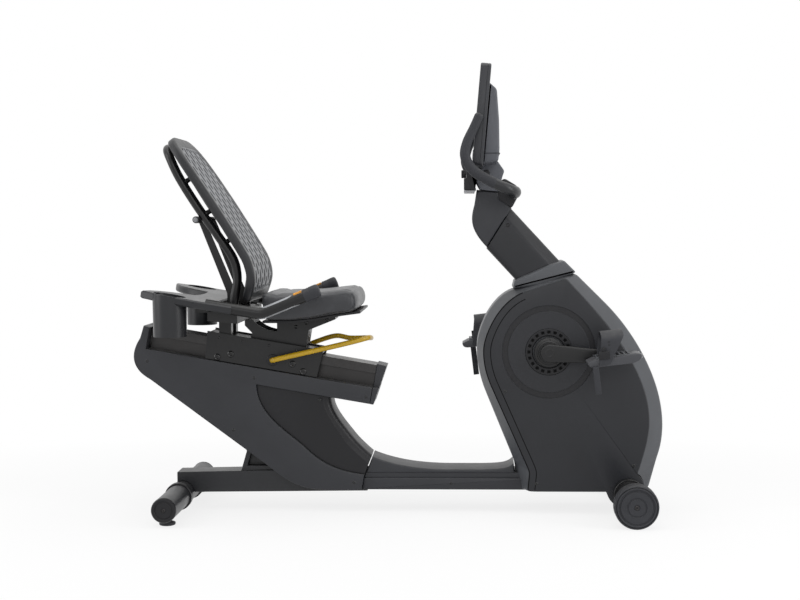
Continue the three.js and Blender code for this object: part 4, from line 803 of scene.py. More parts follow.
# base, rail and covers
refine("rear_frame", "framePaint", 2.0)
keep("base_beam", "blackPaint")
keep("front_upright", "blackPaint")
refine("seat_rail", "aluminium", 0.9)
refine("rail_end_cap", "shell", 1.2)

coverSizes = {"halfWidth": 75, "edge": 3.2, "innerHalfWidth": 65, "chamfer": 22, "topEdge": 338.7,
              "rear": -335}


def innerEdgeSteps():
    return [(-190, 122, -232, 155, -271, 192), (-315, 235, -412, 285, *railPoint(2, -113))]


def makeCovers():
    v = coverSizes
    outer = ring(
        railPoint(v["topEdge"], -64.5), railPoint(v["rear"], -64.5), railPoint(v["rear"] + 1, 0),
        (-741, 550),
        (-752, 514), (-782, 470, -782, 424, -724, 392), (-379, 137), (-330, 98, -290, 66, -205, 66),
        (-106, 66),
        (-97, 112), *innerEdgeSteps(), railPoint(v["topEdge"], -113), count=22)
    shell = plate(outer, -v["halfWidth"], -0.15, v["edge"], 4)
    c = v["chamfer"]
    topX, topZ = railPoint(224, -113)

    def edgeRing(back):
        lift = back * math.tan(rail["slope"])
        return ring(
            (-97, 112), *innerEdgeSteps(), (topX - back, topZ + lift),
            (-199 - back, 300, -160 - back, 258, -127 - back, 216 - back / 2),
            (-110 - back, 196 - back / 2, -90 - back, 178 - back / 2, -76 - back / 3, 166 - back), count=20)

    half = v["innerHalfWidth"]
    wide, narrow = edgeRing(0), edgeRing(c)
    t = np.linspace(0, math.pi / 2, 6)
    rows = [np.insert(inset(narrow, 1.5), 1, -half, axis=1)]
    rows += [np.insert(inset(narrow + (wide - narrow) * math.sin(a), 0.3), 1,
                       -half + c * (1 - math.cos(a)) + 0.8, axis=1)
             for a in t]
    rows.append(np.insert(inset(wide, 0.3), 1, -0.15, axis=1))
    inner = skin(rows)
    for word, turn in bothSides:
        piece("rear_cover_" + word + "_skin", turn(shell), "shell", "frame", ("rear_cover_" + word,))
        piece("inner_cover_" + word + "_skin", turn(inner), "blackPlastic", "frame",
              ("inner_cover_" + word,))


def makeBaseCover():
    lower = plate(rounded([(-105, 66), (379, 66), (379, 100), (-99, 100)], 2, 3), -62, 62, 2.5)
    band = plate(np.array([(-98, 98), (379, 98), (379, 116), (-92, 116)], float), -56, 56, 0.4)
    top = plate(ring((-93, 114.5), (341, 114.5), (339, 145), (324, 129, 309, 126, 241, 125), (153, 125),
                     (60, 126, -10, 137, -74, 163), count=18), -60, 60, 5, 4)
    piece("base_cover_skin", [lower, band, top], "shell", "frame", ("base_cover",),
          sharp=36)


makeCovers()
makeBaseCover()
print("covers made")

# shroud over the drive
crank = {"x": 439, "z": 472, "length": 175, "tilt": math.radians(3.6), "armY": 134, "armHalf": 7.5}
shroud = {"face": 95, "band": 45, "archX": 659, "archZ": 75, "archRadius": 57, "ringIn": 117, "ringOut": 134,
          "ventIn": 46, "ventOut": 67, "holes": 20}

panelSteps = [
    (376, 66), (382, 124), (273, 371), (254, 412, 243, 470, 255, 507), (269, 556, 310, 634, 385, 652),
    (488, 685),
    (548, 620), (649, 509, 728, 386, 728, 276), (728, 220, 708, 160, 690, 108), (676, 66)]
bandSteps = [
    (354, 66), (340, 150), (256, 357), (236, 407, 225, 480, 238, 519), (248, 562, 283, 632, 338, 651),
    (518, 697),
    (608, 607), (688, 527, 771, 385, 771, 260), (771, 220, 766, 190, 755, 160), (729, 66)]


def evenRing(steps, perStep=30):
    # the same number of points on every step of both outlines, so that one can meet the other point by point
    corners = [np.array(steps[0], float)]
    rows = []
    for step in steps[1:] + [steps[0]]:
        here = corners[-1]
        t = np.linspace(0, 1, perStep, endpoint=False)[:, None]
        if len(step) == 2:
            end = np.array(step, float)
            rows.append(here * (1 - t) + end * t)
        else:
            first, second, end = np.array(step, float).reshape(3, 2)
            rows.append(cubic(here, first, second, end, t))
        corners.append(end)
    return np.vstack(rows)


def softened(points, times=3):
    # corners of an even outline ease into their neighbours
    for _ in range(times):
        points = points * 0.5 + (np.roll(points, 1, 0) + np.roll(points, -1, 0)) * 0.25
    return points


def makeShroudShell():
    v = shroud
    panel, band = softened(evenRing(panelSteps), 6), softened(evenRing(bandSteps), 6)
    back = 89.7
    t = np.linspace(0, 1, 7)
    turnIn = v["band"] + 0.14 * (back - v["band"])
    corner = [(quadratic(0.86, 1.0, 1.0, a), quadratic(turnIn, v["band"], v["band"] - 6, a)) for a in t]
    stations = [(0.0, back), (0.02, back - 0.9),
                (0.3, back - 0.3 * (back - v["band"]))] + corner + [(1.0, 0.15)]
    rows = [np.insert(panel + (band - panel) * share, 1, -y, axis=1) for share, y in stations]
    knife = turned([(0, -150), (v["archRadius"], -150), (v["archRadius"], 20), (0, 20)],
                   (v["archX"], 0, v["archZ"]), sides=64)
    # the rims take the lightened copy of the shell colour: a painted highlight
    for word, turn in bothSides:
        piece("shroud_shell_" + word + "_skin", turn(skin(rows)), "shellPaintedHighlight", "frame",
              ("shroud_shell_" + word,),
              sharp=28, cutters=[turn(knife)])


def archedRing():
    # the panel's outline with the wheel's arch taken out of its foot, in order of angle about the crank
    v = shroud
    points = softened(evenRing(panelSteps, 24), 4)
    arch = np.array([v["archX"], v["archZ"]])
    away = np.linalg.norm(points - arch, axis=1) > v["archRadius"]
    start = int(np.argmin(away)) - 1
    turnedPoints = np.roll(points, -(start + 1), 0)
    kept = turnedPoints[np.roll(away, -(start + 1))]
    first, last = kept[-1] - arch, kept[0] - arch
    a0, a1 = math.atan2(first[1], first[0]), math.atan2(last[1], last[0])
    if a0 > a1:
        a0, a1 = a0, a1
    sweep = np.linspace(a0, a1, 26)[1:-1]
    curve = arch + v["archRadius"] * np.stack([np.cos(sweep), np.sin(sweep)], 1)
    return np.vstack([kept, curve])


def makeShroudPanel():
    v = shroud
    outline = inset(archedRing(), 2)
    centre = np.array([crank["x"], crank["z"]])
    direction = unit(outline - centre)
    face = -v["face"]
    rows = []

    def circle(radius, y):
        rows.append(np.insert(centre + direction * radius, 1, y, axis=1))

    def edge(depth, y):
        rows.append(np.insert(inset(outline, depth), 1, y, axis=1))

    circle(67.4, face + 5)
    circle(67.4, face + 0.5)
    circle(68, face)
    circle(v["ringIn"] - 0.6, face)
    circle(v["ringIn"], face + 0.5)
    circle(v["ringIn"] + 0.6, face + 2.8)
    circle(v["ringOut"] - 0.6, face + 2.8)
    circle(v["ringOut"], face + 0.5)
    circle(v["ringOut"] + 0.6, face)
    for depth, y in ((2, 0), (0.9, 0.3), (0.2, 0.9), (0, 2), (0, 5)):
        edge(depth, face + y)
    panel = skin(rows, loop=True)
    inlay = turned([(v["ringIn"] + 0.3, face + 2.5), (v["ringOut"] - 0.3, face + 2.5),
                    (v["ringOut"] - 0.3, face + 3.4),
                    (v["ringIn"] + 0.3, face + 3.4)], (crank["x"], 0, crank["z"]), sides=96, loop=True)
    # the side panels take the darkened copy of the shell colour: painted shade
    for word, turn in bothSides:
        name = "shroud_panel_" + word
        piece(name + "_skin", turn(panel), "shroudFacePaintedShade", "frame", (name,), sharp=26)
        piece("ring_groove_" + word, turn(inlay), "blackPlastic", "frame")


def makeVentRing():
    # a turned ring whose face dips wherever it comes within a hole's squarish outline
    v = shroud
    around, holes = 20 * 18, v["holes"]
    face = -v["face"] - 1
    radii = np.array([v["ventIn"], v["ventIn"], v["ventIn"] + 1.2, 48, 50, 51.5, 52.5, 53.2, 54, 55.5, 57,
                      58.5, 60, 60.8,
                      61.5, 62.5, 64, 65.2, 66.4, v["ventOut"], v["ventOut"], v["ventIn"]])
    depth = np.array([5, 1.2, 0.3] + [0] * 15 + [0.3, 1.2, 6, 6], float)
    radii = radii[:len(depth)]
    angle = np.linspace(0, 2 * math.pi, around, endpoint=False)
    local = (angle * holes / (2 * math.pi) + 0.5) % 1 - 0.5
    sideways = local * 2 * math.pi / holes * 57 / 4.6
    outward = (radii[:, None] - 57) / 4.2
    reach = (np.abs(sideways)[None, :] ** 4 + np.abs(outward) ** 4) ** 0.25
    dip = np.clip((1.12 - reach) / 0.24, 0, 1)
    dip = dip * dip * (3 - 2 * dip) * 3.6
    y = face + depth[:, None] + np.where((depth < 1)[:, None], dip, 0)
    rows = np.stack([crank["x"] + radii[:, None] * np.cos(angle), y,
                     crank["z"] + radii[:, None] * np.sin(angle)], -1)
    ringShell = skin(rows, loop=True)
    # near-black plugs at the foot of the dips: painted shade for the dark inside of the vent holes
    plugs = []
    for k in range(holes):
        a = 2 * math.pi * k / holes
        x, z = crank["x"] + 57 * math.cos(a), crank["z"] + 57 * math.sin(a)
        corners = rounded([(x - 3.6, z - 3.6), (x + 3.6, z - 3.6), (x + 3.6, z + 3.6), (x - 3.6, z + 3.6)],
                          1.4, 3)
        plugs.append(plate(corners, face + 3.3, face + 4.4, 0.2, 1))
    for word, turn in bothSides:
        name = "vent_ring_" + word
        piece(name + "_skin", turn(ringShell), "blackPlastic", "frame", (name,), sharp=40)
        piece("vent_hole_shade_" + word, [turn(p) for p in plugs], "deepBlack", "frame")


def makeShroudSeams():
    # two thin dark lines along the panel's rear side, one at its edge and one a little inside it
    face = -shroud["face"]
    side = softened(evenRing(panelSteps, 30), 6)
    strips = []
    for near, far in ((0.4, 3.2), (20.5, 23.0)):
        low, high = inset(side, near)[3:118], inset(side, far)[3:118]
        corners = [np.insert(rows, 1, y, axis=1) for rows, y in (
            (low, face - 0.25), (high, face - 0.25), (high, face + 1.5), (low, face + 1.5))]
        strips.append(skin(np.stack(corners, 1)))
    for word, turn in bothSides:
        piece("shroud_seams_" + word, [turn(strip) for strip in strips], "deepBlack", "frame",
              sharp=40)


makeShroudShell()
makeShroudPanel()
makeShroudSeams()
makeVentRing()
print("shroud made")

# mast, neck and collar
mastSizes = {"half": 55, "chamfer": 30, "low": 713, "high": 844, "angle": math.atan2(0.737, 0.676),
             "foot": 640.5}


def makeMast():
    v = mastSizes
    low, high, half, c = v["low"], v["high"], v["half"], v["chamfer"]
    section = rounded([
        (low, 10 - half), (low + 10, -half), (high - c, -half), (high, c - half), (high, half - c),
        (high - c, half),
        (low + 10, half), (low, half - 10)], 9, 5)
    across = np.array([math.sin(v["angle"]), math.cos(v["angle"])])
    along = np.array([-math.cos(v["angle"]), math.sin(v["angle"])])
    start = section[:, :1] * across
    seam, seamWay = np.array([263.0, 771.0]), np.array([58.0, 92.0])
    cross = lambda a, b: a[..., 0] * b[..., 1] - a[..., 1] * b[..., 0]
    topT = -cross(start - seam, seamWay) / cross(along, seamWay) - 0.3
    lowT = (v["foot"] - start[:, 1]) / along[1]
    y = section[:, 1]

    def row(t, shrink):
        flat = start * 1.0 + along * t[:, None]
        middle = np.array([(low + high) / 2]) * across
        centre = middle + along * t.mean()
        flat = flat + (centre - flat) * shrink
        return np.stack([flat[:, 0], y * (1 - shrink), flat[:, 1]], 1)

    rows = [row(lowT, 0), row(lowT * 0.5 + topT * 0.5, 0), row(topT - 1.2, 0), row(topT - 0.3, 0.004),
            row(topT, 0.016)]
    piece("mast_skin", skin(rows), "mastPaint", "frame", ("mast",), sharp=30)
    neck = ring((263, 773), (216, 822, 214, 852, 227, 896), (234, 939.5), (296, 932.7), (299.5, 912),
                (335, 886), count=20)
    piece("neck_skin", plate(neck, -53, 53, 7, 5), "shell", "frame", ("neck_cover",),
          sharp=34)
    # the collar takes the same lightened shell colour, a painted highlight
    collar = rounded([(337, 654), (342, 676), (352, 683), (445, 723), (485, 734), (519, 700), (430, 662)], 5,
                     4)
    piece("collar_skin", plate(collar, -66, 66, 7, 4), "shellPaintedHighlight", "frame", ("mast_collar",),
          sharp=34)
    piece("mast_bolts", both(fastener(324, -55, 837, 5.5, 2.2)), "glossBlack", "frame")


makeMast()

# console
console = {"x": 248, "z": 1144, "tilt": math.radians(5.2), "width": 400, "height": 290, "half": 15,
           "screenWidth": 346, "screenHeight": 196, "screenUp": 20}


def fromConsole(rows):
    # (forward, y, up) of the tilted console's own frame
    c, s = math.cos(console["tilt"]), math.sin(console["tilt"])
    x, y, z = rows[..., 0], rows[..., 1], rows[..., 2]
    return np.stack([console["x"] + x * c + z * s, y, console["z"] - x * s + z * c], -1)


def roundRect(width, height, corner, lift=0.0, steps=9):
    # quarter circles of the corner radius round the four corners, in (y, z)
    a = np.linspace(0, math.pi / 2, steps)
    w, h = width / 2 - corner, height / 2 - corner
    quarters = [(w, h, 0), (-w, h, 1), (-w, -h, 2), (w, -h, 3)]
    parts = [np.stack([cx + corner * np.cos(a + k * math.pi / 2), cz + corner * np.sin(a + k * math.pi / 2)],
                      1)
             for cx, cz, k in quarters]
    return np.vstack(parts) + np.array([0, lift])


def facePlate(stations):
    # rings of (y, z) points at rising depths, in the console's frame
    rows = np.array([np.insert(points, 0, x, axis=1) for points, x in stations])
    points, faces = skin(rows)
    return fromConsole(points), faces


def makeConsole():
    v = console
    w, h, half = v["width"], v["height"], v["half"]
    rect = lambda shrink, corner: roundRect(w - 2 * shrink, h - 2 * shrink, max(corner - shrink, 2))
    pane = lambda grow: roundRect(v["screenWidth"] + grow, v["screenHeight"] + grow, 5, v["screenUp"])
    slab = facePlate([
        (rect(5, 16), half), (rect(2.4, 16), half - 0.4), (rect(0.7, 16), half - 1.6),
        (rect(0, 16), half - 4),
        (rect(0, 16), half - 8), (rect(0.8, 16), half - 8.6), (rect(0.8, 16), half - 9.6),
        (rect(0, 16), half - 10.2),
        (rect(0, 16), 4 - half), (rect(0.7, 16), 1.6 - half), (rect(2.4, 16), 0.4 - half),
        (rect(5, 16), -half),
        (pane(1.6), -half), (pane(0.9), 0.6 - half), (pane(0.9), 3.9 - half)])
    piece("console_slab", slab, "shell", "frame", ("console_bezel",), sharp=28)
    glass = facePlate([(pane(0), 3.6 - half), (pane(0), 1.2 - half), (pane(-1.2), 0.7 - half)])
    piece("console_glass", glass, "screen", "frame", ("console_screen",))
    keys = []
    for k in range(7):
        wide = 22 if k != 3 else 34
        y = (k - 3) * 34
        cap = lambda shrink: roundRect(wide - 2 * shrink, 18 - 2 * shrink, 5, -103) + np.array([y, 0])
        keys.append(facePlate([(cap(0), 1 - half), (cap(0), -0.6 - half), (cap(0.8), -1.4 - half)]))
    piece("console_keys", keys, "keys", "frame")
    upper = rounded([(269, 1239), (291, 1219), (297, 1132), (298, 1048), (294, 1016), (248, 1009)], 7, 4)
    lower = rounded([(246, 1016), (294, 1022), (314, 993), (307, 973), (298, 933.5), (243, 939.5),
                     (224, 975), (243, 997)],
                    5, 4)
    piece("console_housing_skin", [plate(upper, -160, 160, 7, 4), plate(lower, -62, 62, 4, 3)], "housing",
          "frame",
          ("console_housing",), sharp=34)
    piece("console_boss", both(turned([(0, -3), (9, -3), (10.5, -1.5), (10.5, 2), (0, 2)], (262, -62, 987),
                                      sides=6)),
          "blackPlastic", "frame", sharp=20)
    seam = plate(rounded([(247, 1038.6), (299.4, 1038.6), (299.4, 1040.4), (247, 1040.4)], 0.5, 2), -160.6,
                 160.6, 0.3, 1)
    piece("housing_seam", seam, "deepBlack", "frame")
    strip = plate(rounded([(197, 931), (228, 931), (228, 937.5), (197, 937.5)], 1.5, 3), -86, 86, 1, 2)
    piece("pod_strip", strip, "paleGrey", "frame")
    pod = rounded([(197, 939), (232.3, 938), (223.4, 974.5), (241.3, 996), (204, 996), (204, 972),
                   (197, 972)], 2.4, 3)
    piece("control_pod_skin", plate(pod, -90, 90, 2.4, 3), "blackPlastic", "frame", ("control_pod",))
    clamp = rounded([(294, 955), (313, 973), (351, 950), (359, 930), (335, 885), (294, 911)], 9, 5)
    piece("handlebar_clamp_skin", plate(clamp, -50, 50, 4, 3), "blackPlastic", "frame", ("handlebar_clamp",))


def makeDial():
    # a knurled knob: the radius ripples round the axis, and the ripple fades at both rims
    profile = np.array([(0, 0.6), (7, 0.6), (8, 0), (10, 0), (11.2, 0.8), (11.5, 2), (11.5, 12), (11.2, 14),
                        (0, 14)])
    angle = np.linspace(0, 2 * math.pi, 96, endpoint=False)
    ripple = np.where((profile[:, 0] > 11.3)[:, None], 0.5 * np.cos(angle * 24) - 0.5, 0)
    r = profile[:, :1] + ripple * (profile[:, :1] > 0)
    x = 189.7 + profile[:, 1:] + 0 * r
    rows = np.stack([x, -60 + r * np.cos(angle), 984.5 + r * np.sin(angle)], -1)
    piece("dial_knob", skin(rows, caps=False), "blackPlastic", "dial", ("control_dial",))


barHalf = [
    (243, -215, 1148), (227, -217, 1110), (206, -219, 1064), (202, -219, 1026), (224, -215, 989),
    (270, -209, 960),
    (318, -197, 938), (338, -165, 930), (341, -120, 930)]


def makeHandlebar():
    path = barHalf + [(341, 0, 930)] + [(x, -y, z) for x, y, z in barHalf[::-1]]
    thickness = ((0, 0.12, 0.24, 0.34, 0.66, 0.76, 0.88, 1), (11, 13.5, 14, 18, 18, 14, 13.5, 11))
    bar = tube(through(path), thickness, 24, 150, 7)
    piece("handlebar_tube", bar, "framePaint", "frame", ("console_handlebar",), sharp=50)
    sleeve = alongCurve(through(barHalf), np.linspace(2, 250, 40))
    piece("handlebar_sleeves", both(tube(sleeve, ((0, 0.5, 1), (11.9, 14.4, 14.9)), 24, 50, 7)), "rubber",
          "frame", sharp=50)


makeConsole()
makeDial()
makeHandlebar()
print("mast and console made")

# crank, pedals and what turns inside
for name, finish in (("crank_axle", "steel"), ("drive_pulley", "blackPaint"), ("flywheel", "iron"),
                     ("drive_belt", "rubber")):
    keep(name, finish)


def crankTurned(shell, reach):
    # from the arm's own frame, with +X along the arm, to its place on the bike
    angle = crank["tilt"] + (math.pi if reach < 0 else 0)
    points, faces = shell
    c, s = math.cos(angle), math.sin(angle)
    x, y, z = points.T
    return np.stack([crank["x"] + x * c + z * s, y, crank["z"] - x * s + z * c], 1), faces


def makeArms():
    a = np.linspace(math.pi / 2, 1.5 * math.pi, 24)
    b = np.linspace(-math.pi / 2, math.pi / 2, 20)
    near = np.stack([26 * np.cos(a), 26 * np.sin(a)], 1)
    far = np.stack([crank["length"] + 17 * np.cos(b), 17 * np.sin(b)], 1)
    low, high = crank["armY"] - crank["armHalf"], crank["armY"] + crank["armHalf"]
    outline = np.vstack([near, far])
    hub = [(12.6, -100.3), (41, -100.3), (43, -102), (43, -112), (41.5, -114), (36, -115), (34.5, -117),
           (31, -118),
           (29.5, -120.5), (29.5, -127), (12.6, -127)]
    nut = [(0, -137), (7, -137), (7, -141.6), (8.5, -142), (12, -141.8), (13.5, -140.6), (13.5, -136),
           (0, -136)]
    spokes = []
    for k in range(5):
        angle = 2 * math.pi * k / 5 + 0.3
        spokes.append(fastener(36.8 * math.cos(angle), -114.6, 36.8 * math.sin(angle), 3.2, 1.2))
    for word, side, reach in (("right", -1, 1), ("left", 1, -1)):
        arm = plate(outline, -high, -low, 4.2, 5)
        parts = [arm, turned(hub, sides=64, loop=True), turned(nut, sides=32)]
        parts += [turned([(7.6, -high - 0.6), (11, -high - 0.6), (12.5, 0.5 - high), (12.5, 3 - high),
                          (7.6, 3 - high)],
                         (crank["length"], 0, 0), sides=32, loop=True)]
        flip = (lambda s: s) if side < 0 else mirrored
        name = "crank_arm_" + word
        piece(name + "_skin", [crankTurned(flip(s), reach) for s in parts], "blackPaint", "crank", (name,),
              sharp=30)
        piece("hub_screws_" + word, [crankTurned(flip(s), reach) for s in spokes], "darkMetal", "crank")


pedalSizes = {"inner": -149.5, "outer": -241.5, "length": 150, "thick": 13, "tilt": math.radians(6.5)}


def pedalPlaced(shell, side, reach):
    points, faces = shell
    t = -pedalSizes["tilt"]
    x, y, z = points.T
    x, z = x * math.cos(t) + z * math.sin(t), z * math.cos(t) - x * math.sin(t)
    y = y if side < 0 else -y
    px = crank["x"] + math.cos(crank["tilt"]) * crank["length"] * reach
    pz = crank["z"] - math.sin(crank["tilt"]) * crank["length"] * reach
    return np.stack([px + x, y, pz + z], 1), faces


def makePedals():
    v = pedalSizes
    half, thick = v["length"] / 2, v["thick"]
    outline = ring(
        (-half, 2), (-half, -thick, 12 - half, -thick, 26 - half, -thick), (half - 40, -thick),
        (half - 12, -thick, half, -4, half, 6), (half, thick, half - 10, thick, half - 20, thick),
        (18 - half, thick - 4))
    body = plate(outline, v["outer"], v["inner"], 3.2, 4)
    ribs = [block(x, x + 5, v["outer"] + 8, v["inner"] - 8, thick - 4.5 + (x + 57) * 0.03,
                  thick + 1.2 + (x + 57) * 0.03)
            for x in np.arange(-50, 50, 12.5)]
    rails = [block(-half + 22, half - 14, y, y + 6, thick - 4, thick + 1.4) for y in (v["outer"] + 3,
            v["inner"] - 9)]
    spindle = turned([(0, -169.5), (7, -169.5), (7, -127.5), (0, -127.5)], sides=24)
    shoulder = turned([(0, -153.5), (11, -153.5), (11, -143.2), (9.5, -142.6), (0, -142.6)], sides=32)
    y0, y1 = v["outer"] - 3.3, v["inner"] + 3.3
    path = ring((y0, -8), (y0, 52), (y0, 90, y1, 90, y1, 52), (y1, -8), count=26)
    across = unit(np.gradient(path, axis=0)) @ np.array([[0, -1], [1, 0]])
    section = rounded([(-31, -2), (31, -2), (31, 2), (-31, 2)], 1.6, 4)
    rise = np.clip((path[:, 1] + 8) / 75, 0, 1)
    flare = 0.5 + 0.5 * rise
    back = -30 * (1 - rise)
    rows = np.stack([
        section[None, :, 0] * flare[:, None] + back[:, None],
        path[:, :1] + across[:, :1] * section[None, :, 1],
        path[:, 1:] + across[:, 1:] * section[None, :, 1]], -1)
    strap = skin(rows)
    buckle = [block(-44, -14, v["outer"] - 8.6, v["outer"] - 5.4, 8, 30, 1.2),
              block(-34, -22, v["outer"] - 9.6, v["outer"] - 5.4, 31, 40, 1.2)]
    holes = [fastener(-12, v["outer"] - 5.2, z, 3, 0.4) for z in (46, 54)]
    tails = {side: block(x - 8.5, x + 8.5, v["outer"] - 6, v["outer"] - 3, low, -10, 1.4)
             for side, x, low in ((-1, -56, -88), (1, -44, -108))}
    ends = [block(half - 9, half + 1.5, y, y + 16, -2, thick - 3, 1.6) for y in (v["outer"] + 8,
            v["inner"] - 24)]
    for word, side, reach in (("right", -1, 1), ("left", 1, -1)):
        put = lambda shells: [pedalPlaced(s, side, reach) for s in shells]
        rides = word + "_pedal"
        piece("pedal_" + word + "_body", put([body, spindle, shoulder]), "pedalPlastic", rides,
              ("pedal_" + word,),
              sharp=34)
        piece("pedal_tread_" + word, put(ribs + rails), "keys", rides)
        piece("pedal_strap_" + word + "_band", put([strap, tails[side]]), "rubber", rides,
              ("pedal_strap_" + word,), sharp=40)
        piece("pedal_ends_" + word, put(ends), "paleGrey", rides)
        piece("pedal_buckle_" + word, put(buckle + holes), "blackPlastic", rides)


makeArms()
makePedals()
print("crank and pedals made")

# carriage and release lever
refine("carriage", "blackPaint", 1.2)
refine("seat_bracket", "blackPaint", 1.0)
refine("seat_pan", "blackPlastic", 1.5)
refine("arm_frame", "blackPaint", 1.5)
refine("back_brace", "blackPaint", 1.0)

leverSizes = {"radius": 7.5, "half": 100, "pivotU": 37.4, "pivotW": -34}


def makeLever():
    v = leverSizes
    px, pz = railPoint(v["pivotU"], v["pivotW"])
    y = v["half"]
    path = [
        (px, -51, pz), (px, -81, pz), (px + 8, -y, pz + 3), (px + 40, -y - 4, pz + 11), (-191, -y, 488),
        (-125, -y, 503.5),
        (-92, -y + 12, 511.5), (-80, -y + 40, 512.5), (-84, y - 40, 501.5), (-100, y - 8, 499.5),
        (-150, y, 498.5),
        (-193, y, 505), (-250, y + 3, 488.5), (px + 40, y + 4, pz + 11), (px + 8, y, pz + 3), (px, 81, pz),
        (px, 51, pz)]
    piece("release_lever_rod", tube(through(path), v["radius"], 20, 220, 1.0), "yellowPaint", "lever",
          ("release_lever",),
          sharp=50)


def makeBolts():
    shells = []
    for u, w in ((-125, -53), (-87, -38), (96, -36), (131, -53)):
        x, z = railPoint(u, w)
        shells.append(fastener(x, -69, z, 10.5, 3.2))
    for u, w in ((-128, 4), (-60, 6), (20, 6), (100, 6), (150, 4)):
        x, z = railPoint(u, w)
        shells.append(fastener(x, -69, z, 3.6, 1.8))
    for x, z in ((-266, 555), (-296, 543), (-205, 563)):
        shells.append(fastener(x, -48, z, 6, 2.4))
    piece("carriage_bolts", [s for shell in shells for s in both(shell)], "glossBlack", "seat",
          sharp=40)
    px, pz = railPoint(leverSizes["pivotU"], leverSizes["pivotW"])
    boss = turned([(9, -69), (17, -69), (17, -71.5), (15.5, -73), (9, -73)], (px, 0, pz), sides=32,
                  loop=True)
    piece("lever_bosses", both(boss), "blackPlastic", "seat")
    small = []
    for x, y, z, r in ((313, -95, 358, 5), (682, -95, 143, 5), (403, -95, 90, 5), (156, -62, 85, 4.6),
                       (-127, -75, 89, 4.6),
                       (-225, -75, 331, 4.6), (-732, -75, 446, 4.6), (-480, -75, 243, 4.6),
                       (-417, -75, 396, 4.6),
                       (-90, -75, 340, 4.2)):
        small += both(fastener(x, y, z, r, 1.2))
    piece("cover_screws", small, "glossBlack", "frame", sharp=40)


makeLever()
makeBolts()
print("carriage made")

# seat cushion
seat = {"half": 190, "voxel": 0.0055, "start": 5.0, "cap": 4.0, "pressure": 4.0, "frames": 20}


def cushionShell():
    # the side outline carried across; it draws in towards each side, and the plan's four corners are round
    v = seat
    outline = ring((-380, 570.5), (-295, 570.5), (-233, 576.5), (-153, 590.5), (-107, 597),
                   (-94, 603, -92, 646, -116, 659), (-232, 646), (-330, 645), (-390, 650), count=12)
    outline = rounded(outline, 10, 3)
    small = inset(outline, v["start"] * 0.5)
    centre = np.array([-240.0, 610.0])
    y = v["half"] * np.sin(np.linspace(-math.pi / 2, math.pi / 2, 41)) * 0.975
    share = np.abs(y) / v["half"]
    draw = 1 - 0.10 * share ** 6 - 0.16 * np.maximum(share - 0.9, 0) * 10 * share ** 20
    rows = []
    for station, pull in zip(y, draw):
        flat = centre + (small - centre) * np.array([pull, pull])
        flat[:, 1] = np.maximum(flat[:, 1], np.interp(flat[:, 0], [-390, -295, -233, -153, -99],
                                                      [570.5, 570.5, 576.5, 590.5, 597.5]))
        rows.append(np.insert(flat, 1, station, axis=1))
    return skin(rows)


def makeCushion():
    v = seat
    cushion = piece("seat_cushion_vinyl", cushionShell(), "vinyl", "seat", ("seat_cushion",),
                    sharp=180)
    lump = cushion.modifiers.new("remesh", "REMESH")
    lump.mode = "VOXEL"
    lump.voxel_size = v["voxel"]
    settle(cushion)
    count = len(cushion.data.vertices)
    before = np.zeros(count * 3, np.float32)
    cushion.data.vertices.foreach_get("co", before)
    before = before.reshape(-1, 3)
    after = before
    cloth = cushion.modifiers.new("cloth", "CLOTH")
    cloth.settings.use_pressure = True
    cloth.settings.uniform_pressure_force = v["pressure"]
    cloth.settings.effector_weights.gravity = 0
    cloth.settings.tension_stiffness = 40
    cloth.settings.bending_stiffness = 2
    cloth.point_cache.frame_start = 1
    cloth.point_cache.frame_end = v["frames"]
    for step in range(1, v["frames"] + 1):
        scene.frame_set(step)
    made = cushion.evaluated_get(bpy.context.evaluated_depsgraph_get()).to_mesh()
    after = np.zeros(len(made.vertices) * 3, np.float32)
    made.vertices.foreach_get("co", after)
    after = after.reshape(-1, 3)
    cushion.modifiers.clear()
    scene.frame_set(1)
    move = after - before
    size = np.linalg.norm(move, axis=1, keepdims=True)
    move = move * np.minimum(1, v["cap"] * mm / np.maximum(size, 1e-9))
    placed = before + move
    floorLine = np.interp(placed[:, 0], np.array([-390, -295, -233, -153, -99]) * mm,
                          np.array([570, 570, 576, 590, 597]) * mm)
    placed[:, 2] = np.maximum(placed[:, 2], floorLine)
    placed[:, 1] = np.clip(placed[:, 1], -0.1945, 0.1945)
    # two sewn channels across the top and one along each side, pressed in as narrow valleys
    x, y, z = placed.T
    top = np.clip((z - 0.628) / 0.01, 0, 1)
    for line, wide in ((-0.335, 0.006), (-0.128, 0.006)):
        placed[:, 2] -= 0.0030 * np.exp(-((x - line) / wide) ** 2) * top
    for line in (-0.142, 0.142):
        placed[:, 2] -= 0.004 * np.exp(-((y - line) / 0.005) ** 2) * top * (np.abs(x + 0.23) < 0.105)
    cushion.data.vertices.foreach_set("co", placed.astype(np.float32).ravel())
    cushion.data.update()
    cushion.data.shade_smooth()
    cushion.data.materials.clear()
    cushion.data.materials.append(paint["vinyl"])
    fine = cushion.modifiers.new("smooth", "SUBSURF")
    fine.levels = 1
    fine.render_levels = 1
    return cushion


cushion = makeCushion()
print("cushion made:", len(cushion.data.vertices), "points")

# backrest
backLine = [(-437, 628), (-427, 655), (-419, 690), (-425, 724), (-441, 758), (-524, 892), (-613, 1025),
            (-658, 1086)]
back = {"half": 192, "thick": 24, "panel": 7, "low": 629, "high": 1085, "corner": 130, "rim": 32,
        "columns": 8, "pitch": 37.0, "holeWide": 17.0, "holeLong": 29.0}
backCurve = through(backLine, 0.5, 30)
backNormal = unit(np.gradient(backCurve, axis=0)) @ np.array([[0.0, -1.0], [1.0, 0.0]])


